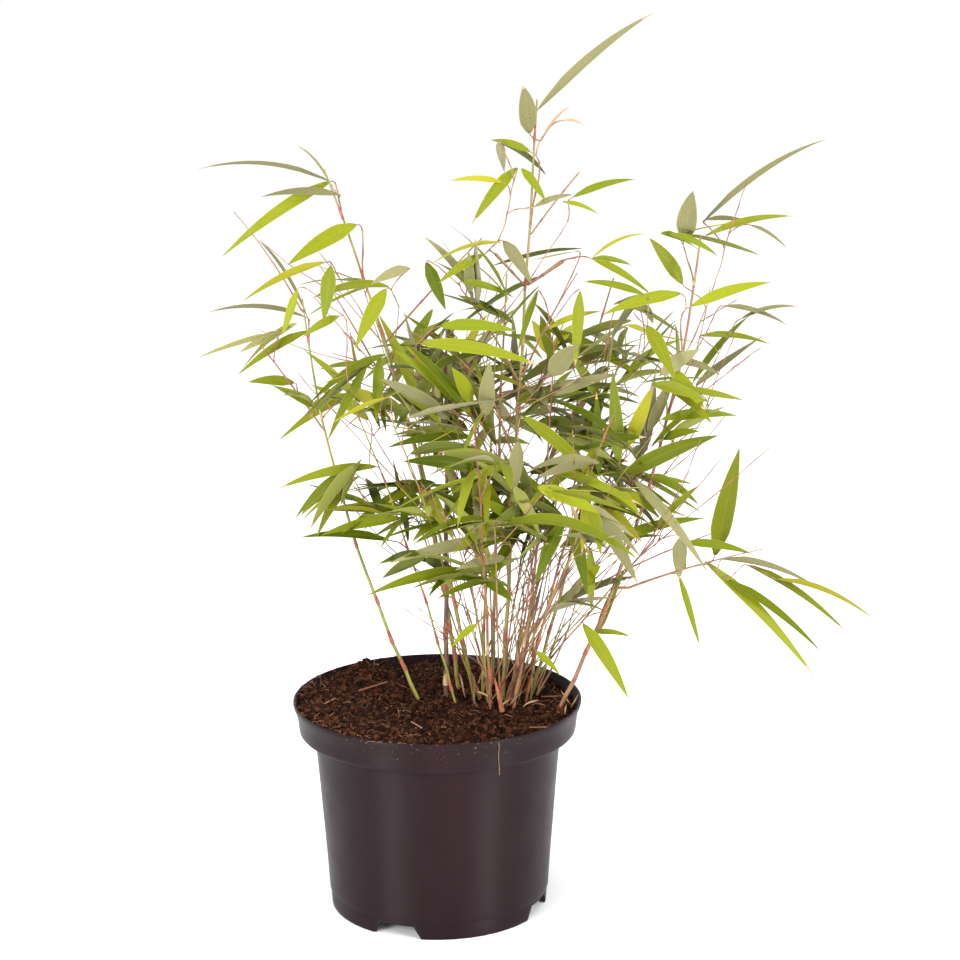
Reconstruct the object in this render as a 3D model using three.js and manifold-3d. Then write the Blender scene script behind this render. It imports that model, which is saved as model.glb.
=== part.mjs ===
// Potted bamboo: a clump of slender leaning stems with masses of leaves, in a round nursery pot.
// Millimetres, +Z up. The origin is the centre of the pot's underside and the front looks to -Y.
// Angles are in degrees. A heading of 0 points to +X (right) and 90 to +Y (back), and a lean is
// measured from upright.

import * as THREE from 'three';
import { mergeVertices } from 'three/addons/utils/BufferGeometryUtils.js';
import Module from 'manifold-3d';

const wasm = await Module();
wasm.setup();

// ---- driving sizes ----------------------------------------------------------------------------

// Pot: a five litre nursery pot with a flared collar, a foot ring and a raised channel under it
const potHeight = 167;
const rimRadius = 112.5;
const rimThickness = 1.8;
const collarHeight = 25;
const collarRadius = 108.3;
const collarFlare = 0.6;
const collarRound = 4;
const collarShoulder = 2.6;
const rimFlareHeight = 14;
const rimLipHeight = 3;
const rimEdge = 0.4;
const bodyTopRadius = 96.3;
const bodyFootRadius = 86.4;
const bodyStep = 1;
const footRadius = 85;
const footFlare = 0.6;
const footHeight = 13;
const footThickness = 2.6;
const potWall = 1.7;
const channelHeight = 11;
const padRadius = 42;
const padSlope = 5;
const potSides = 32;

// Drain notches in the foot ring
const notchCount = 4;
const notchHeading = -23;
const notchHeight = 10;
const notchWidthBottom = 39;
const notchWidthTop = 27;
const notchDepth = 24;
const notchOverlap = 1;

// Soil: nearly level with the rim in front and on the left, lower behind and on the right
const soilLevel = 161.8;
const soilFall = 3.4;
const soilFallHeading = 40;
const soilUneven = 0.7;
const soilWaves = { right: 17, back: 21, slant: 31, slantShare: 0.5 };
const soilRings = 4;

// Clear space left between neighbouring pieces, and under the feet of the stems
const clearance = 0.4;
const soilClearance = 0.6;

// Stems, from the soil to the tip
const stems = {
  left_low: { x: -15, y: 10, heading: 176, lean: 24, bend: -18, length: 330, radius: 1.6 },
  left_tall: { x: 17, y: 34, heading: 187, lean: 6, bend: 15, length: 428, radius: 1.9 },
  left_thick: { x: 7, y: 13, heading: 75, lean: 1, bend: 3, length: 292, radius: 2.3 },
  left_thin: { x: 14, y: -2, heading: 186, lean: 14, bend: 7, length: 262, radius: 1.1 },
  centre_tall: { x: 51, y: 4, heading: 12, lean: 3, bend: 1, length: 468, radius: 1.9 },
  centre_red: { x: 59, y: -14, heading: 8, lean: 10, bend: -7, length: 285, radius: 1.5 },
  right_tall: { x: 94, y: -16, heading: 2, lean: 26, bend: -20, length: 386, radius: 1.9 },
  right_inner: { x: 75, y: 32, heading: 4, lean: 17, bend: -9, length: 300, radius: 1.6 },
  front_centre: { x: 41, y: -16, heading: 262, lean: 13, bend: 14, length: 262, radius: 1.4 },
  front_left: { x: 29, y: 6, heading: 228, lean: 13, bend: 15, length: 250, radius: 1.3 },
  front_right: { x: 69, y: 4, heading: 312, lean: 14, bend: 14, length: 262, radius: 1.4 },
  back_centre: { x: 44, y: 44, heading: 82, lean: 12, bend: 14, length: 335, radius: 1.7 },
  back_left: { x: 27, y: 56, heading: 138, lean: 13, bend: 13, length: 312, radius: 1.5 },
  back_right: { x: 66, y: 52, heading: 44, lean: 13, bend: 12, length: 335, radius: 1.6 },
  back_olive: { x: 36, y: 24, heading: 66, lean: 3, bend: 7, length: 300, radius: 1.4 },
};
const stemTipShare = 0.36;
const stemSides = 5;
const stemSteps = 6;

// Young shoots that stop low in the clump
const shoots = {
  orange: { x: 50, y: -23, heading: 150, lean: 13, bend: 3, length: 34, radius: 2.1 },
  purple: { x: 61, y: 30, heading: 30, lean: 12, bend: 2, length: 44, radius: 2.3 },
};
const shootTipShare = 0.5;

// Main boughs: where each leaves its stem, as a share of the stem's length, and how it runs
const boughs = {
  left_spray: { stem: 'left_low', at: 0.68, heading: 172, lean: 34, bend: 4, length: 82, radius: 0.9 },
  left_tip: { stem: 'left_low', at: 0.96, heading: 186, lean: 26, bend: 10, length: 66, radius: 0.8 },
  left_outer: { stem: 'left_tall', at: 0.5, heading: 198, lean: 26, bend: 4, length: 110, radius: 1.0 },
  left_upper: { stem: 'left_tall', at: 0.67, heading: 12, lean: 42, bend: 4, length: 84, radius: 1.0 },
  centre_left: { stem: 'centre_tall', at: 0.54, heading: 190, lean: 26, bend: 6, length: 60, radius: 1.0 },
  centre_right: { stem: 'centre_tall', at: 0.54, heading: 356, lean: 22, bend: 8, length: 66, radius: 1.0 },
  high_left: { stem: 'centre_tall', at: 0.7, heading: 196, lean: 42, bend: 4, length: 58, radius: 0.9 },
  high_right: { stem: 'centre_tall', at: 0.7, heading: 340, lean: 54, bend: 4, length: 62, radius: 0.9 },
  high_back: { stem: 'centre_tall', at: 0.78, heading: 24, lean: 40, bend: 4, length: 54, radius: 0.8 },
  cross: { stem: 'centre_red', at: 0.5, heading: 200, lean: 19, bend: 2, length: 160, radius: 1.1 },
  low_right: { stem: 'right_tall', at: 0.26, heading: 350, lean: 66, bend: 8, length: 96, radius: 1.2 },
  low_inner: { stem: 'right_inner', at: 0.24, heading: 10, lean: 62, bend: 10, length: 124, radius: 1.1 },
  back_fork: { stem: 'back_centre', at: 0.5, heading: 120, lean: 42, bend: 8, length: 80, radius: 1.0 },
};
const boughTipShare = 0.45;
const boughSides = 5;
const boughSteps = 4;

// Masses of leaves. long, wide and deep are half sizes: long runs along the heading and rises by
// pitch, wide is level, and deep is across both. A droop lowers the far end, a taper narrows it.
const masses = {
  top_blade: { at: [122, 2, 659], heading: 0, pitch: 40, long: 57, wide: 8, deep: 6, droop: 3, taper: 0.5 },
  top: { at: [80, 6, 578], heading: 8, pitch: 2, long: 66, wide: 46, deep: 26, rough: 0.2 },
  top_tuft: { at: [72, 2, 623], heading: 0, pitch: 84, long: 19, wide: 12, deep: 10, rough: 0.1 },
  high: { at: [62, 14, 510], heading: 14, pitch: 0, long: 72, wide: 58, deep: 19, rough: 0.2 },
  left_crest: { at: [-117, 26, 542], heading: 172, pitch: 6, long: 62, wide: 34, deep: 17, droop: 26 },
  left_high: { at: [-84, -16, 492], heading: 196, pitch: 4, long: 58, wide: 44, deep: 22, droop: 10 },
  left_outer: { at: [-120, 30, 441], heading: 166, pitch: 6, long: 52, wide: 36, deep: 17, droop: 14 },
  left_mid: { at: [-72, -20, 408], heading: 192, pitch: 4, long: 52, wide: 46, deep: 22, droop: 16 },
  left_low: { at: [-58, 12, 318], heading: 178, pitch: 4, long: 66, wide: 50, deep: 24, droop: 16 },
  left_base: { at: [0, -24, 277], heading: 200, pitch: 0, long: 56, wide: 46, deep: 17, droop: 10 },
  centre_left: { at: [2, 0, 405], heading: 176, pitch: 0, long: 50, wide: 62, deep: 40 },
  centre: { at: [50, 0, 330], heading: 90, pitch: 0, long: 62, wide: 50, deep: 34 },
  centre_upper: { at: [32, -14, 464], heading: 350, pitch: 4, long: 54, wide: 48, deep: 19 },
  centre_right: { at: [116, 6, 392], heading: 90, pitch: 0, long: 66, wide: 42, deep: 54 },
  right_high: { at: [154, -22, 484], heading: 348, pitch: 4, long: 62, wide: 50, deep: 22 },
  right_crest: { at: [218, -2, 532], heading: 4, pitch: 8, long: 50, wide: 30, deep: 16, droop: 6 },
  right_blade: { at: [247, -4, 574], heading: 356, pitch: 33, long: 56, wide: 8, deep: 6, taper: 0.5 },
  right_outer: { at: [218, 22, 444], heading: 14, pitch: 6, long: 48, wide: 42, deep: 20, droop: 12 },
  right_mid: { at: [186, -26, 400], heading: 340, pitch: 10, long: 42, wide: 44, deep: 23 },
  right_low: { at: [156, 6, 322], heading: 2, pitch: 18, long: 54, wide: 54, deep: 30, droop: 4 },
  right_base: { at: [124, -24, 250], heading: 340, pitch: -30, long: 40, wide: 36, deep: 24 },
  far_right: {
    at: [270, -6, 245], heading: 0, pitch: -24, long: 80, wide: 34, deep: 19, droop: 8, taper: -0.1,
  },
  far_upright: { at: [224, -6, 320], heading: 0, pitch: 80, long: 47, wide: 10, deep: 7, taper: 0.4 },
  front_left: { at: [2, -104, 356], heading: 240, pitch: 4, long: 60, wide: 48, deep: 38, droop: 14 },
  front_right: { at: [110, -106, 350], heading: 300, pitch: 4, long: 60, wide: 48, deep: 40, droop: 14 },
  back_left: { at: [-36, 116, 408], heading: 130, pitch: 4, long: 66, wide: 52, deep: 42, droop: 14 },
  back: { at: [58, 146, 388], heading: 86, pitch: 4, long: 66, wide: 46, deep: 52, droop: 14 },
  back_right: { at: [150, 112, 420], heading: 40, pitch: 4, long: 66, wide: 50, deep: 38, droop: 14 },
};
const massRoughness = 0.14;
const massTaper = 0.15;
const massBumps = 6;
const bumpHeight = 1.4;
const fewestWaves = 2;
const moreWaves = 3;
const bigMassFaces = 2;
const smallMassFaces = 1;
const smallMassWidth = 47;

// ---- colours ----------------------------------------------------------------------------------

const finish = (color, roughness) => new THREE.MeshStandardMaterial({ color, roughness, metalness: 0 });
const potFinish = () => finish(0x443a3d, 0.45);
const soilFinish = () => finish(0x3d2519, 0.95);
const stemFinish = () => finish(0x8d8a4c, 0.5);
const shootFinish = () => finish(0xb86a48, 0.6);
const boughFinish = () => finish(0xa8755a, 0.6);
const leafFinish = () => finish(0x93a838, 0.6);

// ---- small helpers ----------------------------------------------------------------------------

const radians = THREE.MathUtils.degToRad;
const lerp = THREE.MathUtils.lerp;

// A repeatable run of numbers from 0 to 1
const randomStep = 16807;
const randomSpan = 2147483647;

function seededRandom(seed) {
  let state = seed;
  return () => {
    state = (state * randomStep) % randomSpan;
    return state / randomSpan;
  };
}

// A closed mesh as a solid, without the empty triangles that a lathe leaves on its axis
const weldDistance = 1e-4;

function toSolid(geometry) {
  const bare = geometry.clone();
  bare.deleteAttribute('normal');
  bare.deleteAttribute('uv');
  const merged = mergeVertices(bare, weldDistance);
  const corners = merged.index.array;
  const kept = [];
  for (let i = 0; i < corners.length; i += 3) {
    const [a, b, c] = corners.slice(i, i + 3);
    if (a !== b && b !== c && c !== a) {
      kept.push(a, b, c);
    }
  }
  return new wasm.Manifold(new wasm.Mesh({
    numProp: 3,
    vertProperties: new Float32Array(merged.attributes.position.array),
    triVerts: new Uint32Array(kept),
  }));
}

function toGeometry(solid) {
  const mesh = solid.getMesh();
  const geometry = new THREE.BufferGeometry();
  geometry.setAttribute('position', new THREE.BufferAttribute(mesh.vertProperties, 3));
  geometry.setIndex(new THREE.BufferAttribute(mesh.triVerts, 1));
  return geometry;
}

function movePoints(geometry, place) {
  const position = geometry.attributes.position;
  const point = new THREE.Vector3();
  for (let i = 0; i < position.count; i += 1) {
    point.fromBufferAttribute(position, i);
    place(point);
    position.setXYZ(i, point.x, point.y, point.z);
  }
  return geometry;
}

// Unit vector for a heading and a lean from upright
function direction(heading, lean) {
  const level = Math.sin(radians(lean));
  return new THREE.Vector3(
    level * Math.cos(radians(heading)),
    level * Math.sin(radians(heading)),
    Math.cos(radians(lean)),
  );
}

// The largest of the pieces that a cut leaves
function largestPiece(solid) {
  return solid.decompose().reduce((best, piece) => (piece.volume() > best.volume() ? piece : best));
}

// The piece whose lowest point is nearest to a given place
function pieceNearest(solid, place) {
  const reach = (piece) => {
    const { vertProperties } = piece.getMesh();
    let nearest = Infinity;
    for (let i = 0; i < vertProperties.length; i += 3) {
      const corner = new THREE.Vector3(vertProperties[i], vertProperties[i + 1], vertProperties[i + 2]);
      nearest = Math.min(nearest, corner.distanceTo(place));
    }
    return nearest;
  };
  return solid.decompose().reduce((best, piece) => (reach(piece) < reach(best) ? piece : best));
}

// ---- pot and soil -----------------------------------------------------------------------------

const collarFoot = potHeight - collarHeight;
const collarInside = collarRadius - potWall;
const rimInside = rimRadius - rimThickness;

// A profile of [radius, height] pairs turned round the upright axis
function turned(profile) {
  const points = profile.map(([radius, height]) => new THREE.Vector2(radius, height));
  return new THREE.LatheGeometry(points, potSides).rotateX(Math.PI / 2);
}

function potSolid() {
  const outside = [
    [0, 0],
    [padRadius, 0],
    [padRadius + padSlope, channelHeight],
    [footRadius - footThickness, channelHeight],
    [footRadius - footThickness, 0],
    [footRadius, 0],
    [footRadius + footFlare, footHeight],
    [bodyFootRadius, footHeight + bodyStep],
    [bodyTopRadius, collarFoot],
    [collarRadius - collarShoulder, collarFoot + bodyStep],
    [collarRadius, collarFoot + collarRound],
    [collarRadius + collarFlare, potHeight - rimFlareHeight],
    [rimRadius, potHeight - rimLipHeight],
    [rimRadius - rimEdge, potHeight],
  ];
  const inside = [
    [rimInside, potHeight],
    [collarInside + collarFlare, potHeight - rimFlareHeight],
    [collarInside, collarFoot + collarRound],
    [bodyTopRadius - potWall, collarFoot + bodyStep],
    [bodyFootRadius - potWall, channelHeight + potWall],
    [padRadius + padSlope - potWall, channelHeight + potWall],
    [padRadius - potWall, potWall],
    [0, potWall],
  ];
  const body = toSolid(turned([...outside, ...inside]));
  return body.subtract(notchCutters());
}

function notchCutters() {
  const outline = new THREE.Shape([
    new THREE.Vector2(-notchWidthBottom / 2, -notchOverlap),
    new THREE.Vector2(notchWidthBottom / 2, -notchOverlap),
    new THREE.Vector2(notchWidthTop / 2, notchHeight),
    new THREE.Vector2(-notchWidthTop / 2, notchHeight),
  ]);
  const cutter = new THREE.ExtrudeGeometry(outline, { depth: notchDepth, bevelEnabled: false });
  cutter.rotateX(Math.PI / 2).rotateZ(Math.PI / 2).translate(footRadius - notchDepth / 2, 0, 0);
  const cutters = [];
  for (let i = 0; i < notchCount; i += 1) {
    const turn = radians(notchHeading + (i * 360) / notchCount);
    cutters.push(toSolid(cutter.clone().rotateZ(turn)));
  }
  return wasm.Manifold.union(cutters);
}

// Height of the soil above the ground at a place
function soilHeight(x, y) {
  const away = x * Math.cos(radians(soilFallHeading)) + y * Math.sin(radians(soilFallHeading));
  const { right, back, slant, slantShare } = soilWaves;
  const lumps = Math.sin(x / right) * Math.cos(y / back) + slantShare * Math.sin((x + y) / slant);
  return soilLevel - (soilFall * away) / collarRadius + soilUneven * lumps;
}

// Inner radius of the flared rim at a height
function rimWall(height) {
  const share = (height - potHeight + rimFlareHeight) / rimFlareHeight;
  return lerp(collarInside + collarFlare, rimInside, share);
}

function soilSolid() {
  const edgeRadius = rimWall(soilLevel) - clearance;
  const profile = [
    [0, potWall + clearance],
    [padRadius - potWall - clearance, potWall + clearance],
    [padRadius + padSlope - potWall - clearance, channelHeight + potWall + clearance],
    [bodyFootRadius - potWall - clearance, channelHeight + potWall + clearance],
    [bodyTopRadius - potWall - clearance, collarFoot + bodyStep + clearance],
    [collarInside - clearance, collarFoot + collarRound + clearance],
    [collarInside + collarFlare - clearance, potHeight - rimFlareHeight],
  ];
  for (let i = soilRings; i >= 0; i -= 1) {
    profile.push([(edgeRadius * i) / soilRings, soilLevel]);
  }
  const lump = movePoints(turned(profile), (point) => {
    if (point.z < soilLevel - clearance) {
      return;
    }
    const radius = Math.hypot(point.x, point.y);
    point.z = soilHeight(point.x, point.y);
    if (radius > edgeRadius - clearance) {
      const reach = (rimWall(point.z) - clearance) / radius;
      point.x *= reach;
      point.y *= reach;
    }
  });
  return toSolid(lump);
}

// ---- stems, shoots and boughs -----------------------------------------------------------------

// Centreline of a limb that starts at a place and gains its bend evenly along its length
function limbPath(start, { heading, lean, bend, length }, steps) {
  const points = [start.clone()];
  for (let i = 0; i < steps; i += 1) {
    const here = direction(heading, lean + (bend * (i + 0.5)) / steps);
    points.push(points[i].clone().addScaledVector(here, length / steps));
  }
  return points;
}

// A tapering limb: a cylinder whose rings are carried onto the centreline
function limbSolid(points, heading, radius, tipShare, sides, grow, flatFoot) {
  const steps = points.length - 1;
  const tube = new THREE.CylinderGeometry(1, 1, steps, sides, steps).translate(0, steps / 2, 0);
  const across = new THREE.Vector3(-Math.sin(radians(heading)), Math.cos(radians(heading)), 0);
  const limb = movePoints(tube, (point) => {
    const ring = Math.round(point.y);
    const ahead = points[Math.min(ring + 1, steps)];
    const behind = points[Math.max(ring - 1, 0)];
    const along = ahead.clone().sub(behind).normalize();
    const outward = new THREE.Vector3().crossVectors(along, across).normalize();
    const reach = radius * lerp(1, tipShare, ring / steps) + grow;
    const side = across.clone().multiplyScalar(point.z * reach);
    const out = outward.multiplyScalar(point.x * reach);
    point.copy(points[ring]).add(side).add(out);
    if (flatFoot && ring === 0) {
      point.z = points[0].z - grow;
    }
  });
  return toSolid(limb);
}

function stemPath(stem) {
  const foot = new THREE.Vector3(stem.x, stem.y, soilHeight(stem.x, stem.y) + soilClearance);
  return limbPath(foot, stem, stemSteps);
}

function stemSolid(stem, tipShare, grow) {
  return limbSolid(stemPath(stem), stem.heading, stem.radius, tipShare, stemSides, grow, true);
}

// A bough starts just clear of the bark of its stem
function boughPath(bough) {
  const stem = stems[bough.stem];
  const path = stemPath(stem);
  const along = bough.at * stemSteps;
  const ring = Math.floor(along);
  const onStem = path[ring].clone().lerp(path[ring + 1], along - ring);
  const stemRadius = stem.radius * lerp(1, stemTipShare, bough.at);
  const outward = direction(bough.heading, bough.lean);
  const slant = Math.sin(outward.angleTo(path[ring + 1].clone().sub(path[ring])));
  const start = onStem.addScaledVector(outward, (stemRadius + clearance + bough.radius) / slant);
  return limbPath(start, bough, boughSteps);
}

function boughSolid(bough, grow) {
  const path = boughPath(bough);
  return limbSolid(path, bough.heading, bough.radius, boughTipShare, boughSides, grow, false);
}

// ---- masses of leaves -------------------------------------------------------------------------

// An uneven closed lump: a ball pushed in and out by soft bumps, then stretched, drooped and tapered
function massSolid(mass, seed, grow) {
  const { at, heading, pitch, long, wide, deep } = mass;
  const { droop = 0, taper = massTaper, rough = massRoughness } = mass;
  const random = seededRandom(seed);
  const bumps = [];
  for (let i = 0; i < massBumps; i += 1) {
    const toward = new THREE.Vector3(random() - 0.5, random() - 0.5, random() - 0.5).normalize();
    bumps.push({ toward, waves: fewestWaves + moreWaves * random(), phase: 2 * Math.PI * random() });
  }
  const detail = wide < smallMassWidth ? smallMassFaces : bigMassFaces;
  const turn = new THREE.Euler(0, -radians(pitch), radians(heading), 'ZYX');
  const bumpShare = (bumpHeight * rough) / Math.sqrt(massBumps);
  const lump = movePoints(new THREE.IcosahedronGeometry(1, detail), (point) => {
    let swell = 1;
    for (const { toward, waves, phase } of bumps) {
      swell += bumpShare * Math.sin(waves * point.dot(toward) + phase);
    }
    const narrow = 1 - taper * point.x;
    const far = point.x;
    point.multiplyScalar(swell);
    point.set(
      point.x * (long + grow),
      point.y * (wide * narrow + grow),
      point.z * (deep * narrow + grow) - droop * far * Math.abs(far),
    );
    point.applyEuler(turn).add(new THREE.Vector3(...at));
  });
  return toSolid(lump);
}

// ---- the plant --------------------------------------------------------------------------------

const plant = new THREE.Group();

function addPiece(name, solid, material) {
  const mesh = new THREE.Mesh(toGeometry(solid), material);
  mesh.name = name;
  plant.add(mesh);
}

addPiece('pot', potSolid(), potFinish());
addPiece('soil', soilSolid(), soilFinish());
for (const [name, stem] of Object.entries(stems)) {
  addPiece(`stem_${name}`, stemSolid(stem, stemTipShare, 0), stemFinish());
}
for (const [name, shoot] of Object.entries(shoots)) {
  addPiece(`shoot_${name}`, stemSolid(shoot, shootTipShare, 0), shootFinish());
}

// The stems run up whole through the masses, which are cut clear of them and of each other
const stemRoom = Object.values(stems).map((stem) => stemSolid(stem, stemTipShare, clearance));
const massRoom = [];
Object.entries(masses).forEach(([name, mass], i) => {
  const cutters = [...stemRoom, ...massRoom];
  const whole = massSolid(mass, i + 1, 0);
  addPiece(`foliage_${name}`, largestPiece(whole.subtract(wasm.Manifold.union(cutters))), leafFinish());
  massRoom.push(massSolid(mass, i + 1, clearance));
});

// A bough ends where it enters the first mass
const leafRoom = wasm.Manifold.union(massRoom);
for (const [name, bough] of Object.entries(boughs)) {
  const open = boughSolid(bough, 0).subtract(leafRoom);
  addPiece(`bough_${name}`, pieceNearest(open, boughPath(bough)[0]), boughFinish());
}

export default plant;
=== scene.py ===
# Potted bamboo: a clump of thin canes with sprays of long leaves, in a round nursery pot.
# The frame is in metres, and sizes below are in millimetres times mm. The front looks to -Y.
import math

import bmesh
import bpy
import numpy as np
from mathutils import Matrix, Vector, noise
from mathutils.bvhtree import BVHTree


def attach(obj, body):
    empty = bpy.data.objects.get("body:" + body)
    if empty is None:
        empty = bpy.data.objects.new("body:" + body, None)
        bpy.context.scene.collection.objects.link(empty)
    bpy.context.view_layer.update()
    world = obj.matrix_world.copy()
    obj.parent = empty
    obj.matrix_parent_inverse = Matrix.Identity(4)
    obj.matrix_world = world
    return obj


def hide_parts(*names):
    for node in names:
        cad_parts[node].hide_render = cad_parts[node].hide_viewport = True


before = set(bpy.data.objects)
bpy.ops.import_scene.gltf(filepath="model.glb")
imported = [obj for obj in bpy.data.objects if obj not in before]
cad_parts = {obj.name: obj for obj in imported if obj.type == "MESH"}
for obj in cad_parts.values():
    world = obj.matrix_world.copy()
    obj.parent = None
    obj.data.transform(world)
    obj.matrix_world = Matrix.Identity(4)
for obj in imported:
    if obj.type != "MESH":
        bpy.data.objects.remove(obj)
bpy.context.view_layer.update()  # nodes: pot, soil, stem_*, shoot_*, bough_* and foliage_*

mm = 0.001
up = np.array((0.0, 0.0, 1.0))
clumpHub = np.array((45, 8, 158)) * mm  # the middle of the canes' feet


def linear(hexColour):
    channels = []
    for start in (1, 3, 5):
        share = int(hexColour[start:start + 2], 16) / 255
        channels.append(share / 12.92 if share <= 0.04045 else ((share + 0.055) / 1.055) ** 2.4)
    return (*channels, 1.0)


def addNode(tree, kind, settings=None, links=None, stops=None):
    node = tree.nodes.new(kind)
    for name, value in (settings or {}).items():
        setattr(node, name, value)
    for name, value in (links or {}).items():
        if isinstance(value, bpy.types.NodeSocket):
            tree.links.new(value, node.inputs[name])
        else:
            node.inputs[name].default_value = value
    for i, (place, colour) in enumerate(stops or []):
        stop = node.color_ramp.elements[i] if i < 2 else node.color_ramp.elements.new(place)
        stop.position, stop.color = place, linear(colour)
    return node


def startMaterial(name, **sockets):
    material = bpy.data.materials.new(name)
    material.use_nodes = True
    tree = material.node_tree
    tree.nodes.clear()
    links = {key.replace("_", " "): value for key, value in sockets.items()}
    surface = addNode(tree, "ShaderNodeBsdfPrincipled", None, links)
    addNode(tree, "ShaderNodeOutputMaterial", None, {"Surface": surface.outputs[0]})
    return material, tree, surface


def objectPlace(tree):
    return addNode(tree, "ShaderNodeTexCoord").outputs["Object"]


def drawnOut(tree, squash):
    # object coordinates that draw a pattern out along Z
    return addNode(tree, "ShaderNodeMapping", None, {
        "Vector": objectPlace(tree), "Scale": (1.0, 1.0, squash)}).outputs[0]


def noiseAt(tree, place, scale, detail, roughness=0.5):
    return addNode(tree, "ShaderNodeTexNoise", None, {
        "Vector": place, "Scale": scale, "Detail": detail, "Roughness": roughness}).outputs[0]


def remap(tree, value, low, high, toLow=0.0, toHigh=1.0):
    return addNode(tree, "ShaderNodeMapRange", None, {
        "Value": value, "From Min": low, "From Max": high, "To Min": toLow, "To Max": toHigh}).outputs[0]


def combine(tree, operation, first, second):
    return addNode(tree, "ShaderNodeMath", {"operation": operation}, {0: first, 1: second}).outputs[0]


def blend(tree, share, first, colour):
    return addNode(tree, "ShaderNodeMix", {"data_type": "RGBA"},
                   {0: share, 6: first, 7: linear(colour)}).outputs[2]


def ramp(tree, value, *stops):
    return addNode(tree, "ShaderNodeValToRGB", None, {"Fac": value}, stops).outputs[0]


def finishSurface(tree, surface, colour, height, strength, depth):
    tree.links.new(colour, surface.inputs["Base Color"])
    bump = addNode(tree, "ShaderNodeBump", None, {"Height": height, "Strength": strength, "Distance": depth})
    tree.links.new(bump.outputs[0], surface.inputs["Normal"])


def newMesh(name, corners, faces, edges=()):
    mesh = bpy.data.meshes.new(name)
    mesh.from_pydata(np.asarray(corners).tolist(), edges, faces)
    return mesh


def newObject(name, mesh, materials=()):
    piece = bpy.data.objects.new(name, mesh)
    bpy.context.scene.collection.objects.link(piece)
    for material in materials:
        mesh.materials.append(material)
    return piece


def finishPiece(piece, slot, *nodes):
    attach(piece, "root")
    if nodes:
        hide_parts(*nodes)


def heading(turn, rise):
    # unit vector from degrees round the upright axis and degrees above level
    turn, rise = math.radians(turn), math.radians(rise)
    return np.array((math.cos(turn) * math.cos(rise), math.sin(turn) * math.cos(rise), math.sin(rise)))


def around(radius, turn, height):
    return radius * math.cos(turn), radius * math.sin(turn), height


def unit(vectors):
    size = np.linalg.norm(vectors, axis=-1, keepdims=True)
    return vectors / np.maximum(size, 1e-12)


def awayFromHub(point):
    # heading from the clump's middle, in degrees
    return math.degrees(math.atan2(*(point - clumpHub)[1::-1]))


# ---- studio ----
studio = dict(
    floorSize=9.0,
    floorColour="#ffffff",
    backColour="#ffffff",
    backStrength=1.0,
    lens=94.1,  # sensor 36 mm wide
    eye=(0, -1867.3, 788.2),
    pitch=-13.47,
    yaw=1.05,
    roll=-0.33,
    # name: place, aimed at, width and height in metres, watts
    lamps={
        "softbox left": ((-1.3, -1.39, 0.6), (0.0, 0, 0.2), (0.62, 1.05), 44),
        "softbox right": ((1.42, -1.3, 0.56), (0.0, 0, 0.2), (0.55, 1.0), 37),
        "overhead": ((0.1, -0.2, 2.1), (0.03, 0, 0.3), (1.4, 1.4), 30),
    },
)


def buildStudio():
    scene = bpy.context.scene
    scene.view_settings.view_transform = "Standard"
    scene.view_settings.look = "None"
    world = bpy.data.worlds.new("white sweep")
    world.use_nodes = True
    world.node_tree.nodes.clear()
    back = addNode(world.node_tree, "ShaderNodeBackground", None,
                   {"Color": linear(studio["backColour"]), "Strength": studio["backStrength"]})
    addNode(world.node_tree, "ShaderNodeOutputWorld", None, {"Surface": back.outputs[0]})
    scene.world = world

    half = studio["floorSize"] / 2
    corners = [(-half, -half, 0), (half, -half, 0), (half, half, 0), (-half, half, 0)]
    floorMesh = newMesh("floor", corners, [(0, 1, 2, 3)])
    paper = startMaterial("studio paper", Roughness=0.9, Specular_IOR_Level=0.1,
                          Base_Color=linear(studio["floorColour"]))[0]
    newObject("floor", floorMesh, [paper])

    for name, (place, target, (wide, high), watts) in studio["lamps"].items():
        light = bpy.data.lights.new(name, "AREA")
        light.shape = "RECTANGLE"
        light.size, light.size_y, light.energy = wide, high, watts
        lamp = bpy.data.objects.new(name, light)
        lamp.location = place
        lamp.rotation_euler = (Vector(target) - Vector(place)).to_track_quat("-Z", "Y").to_euler()
        scene.collection.objects.link(lamp)

    camera = bpy.data.cameras.new("camera")
    camera.lens, camera.sensor_width = studio["lens"], 36
    pitch, yaw, roll = (math.radians(studio[key]) for key in ("pitch", "yaw", "roll"))
    forward = Vector((math.sin(yaw) * math.cos(pitch), math.cos(yaw) * math.cos(pitch), math.sin(pitch)))
    right = Vector((math.cos(yaw), -math.sin(yaw), 0))
    upward = right.cross(forward)
    turnedRight = right * math.cos(roll) + upward * math.sin(roll)
    turnedUp = upward * math.cos(roll) - right * math.sin(roll)
    eye = bpy.data.objects.new("camera", camera)
    eye.matrix_world = Matrix.Translation(Vector(studio["eye"]) * mm) @ Matrix(
        (turnedRight, turnedUp, -forward)).transposed().to_4x4()
    scene.collection.objects.link(eye)
    scene.camera = eye


buildStudio()
print("studio ready")

# ---- limbs: tubes that follow a path ----


def startTree(name, sockets):
    tree = bpy.data.node_groups.new(name, "GeometryNodeTree")
    for label, kind, value in sockets:
        socket = tree.interface.new_socket(label, in_out="INPUT", socket_type="NodeSocket" + kind)
        if value is not None:
            socket.default_value = value
    tree.interface.new_socket("Geometry", in_out="OUTPUT", socket_type="NodeSocketGeometry")
    return tree, addNode(tree, "NodeGroupInput").outputs


def finishTree(tree, shape, material):
    real = addNode(tree, "GeometryNodeRealizeInstances", None, {"Geometry": shape.outputs[0]})
    coated = addNode(tree, "GeometryNodeSetMaterial", None,
                     {"Geometry": real.outputs[0], "Material": material})
    addNode(tree, "NodeGroupOutput", None, {"Geometry": coated.outputs[0]})
    return tree


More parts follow.
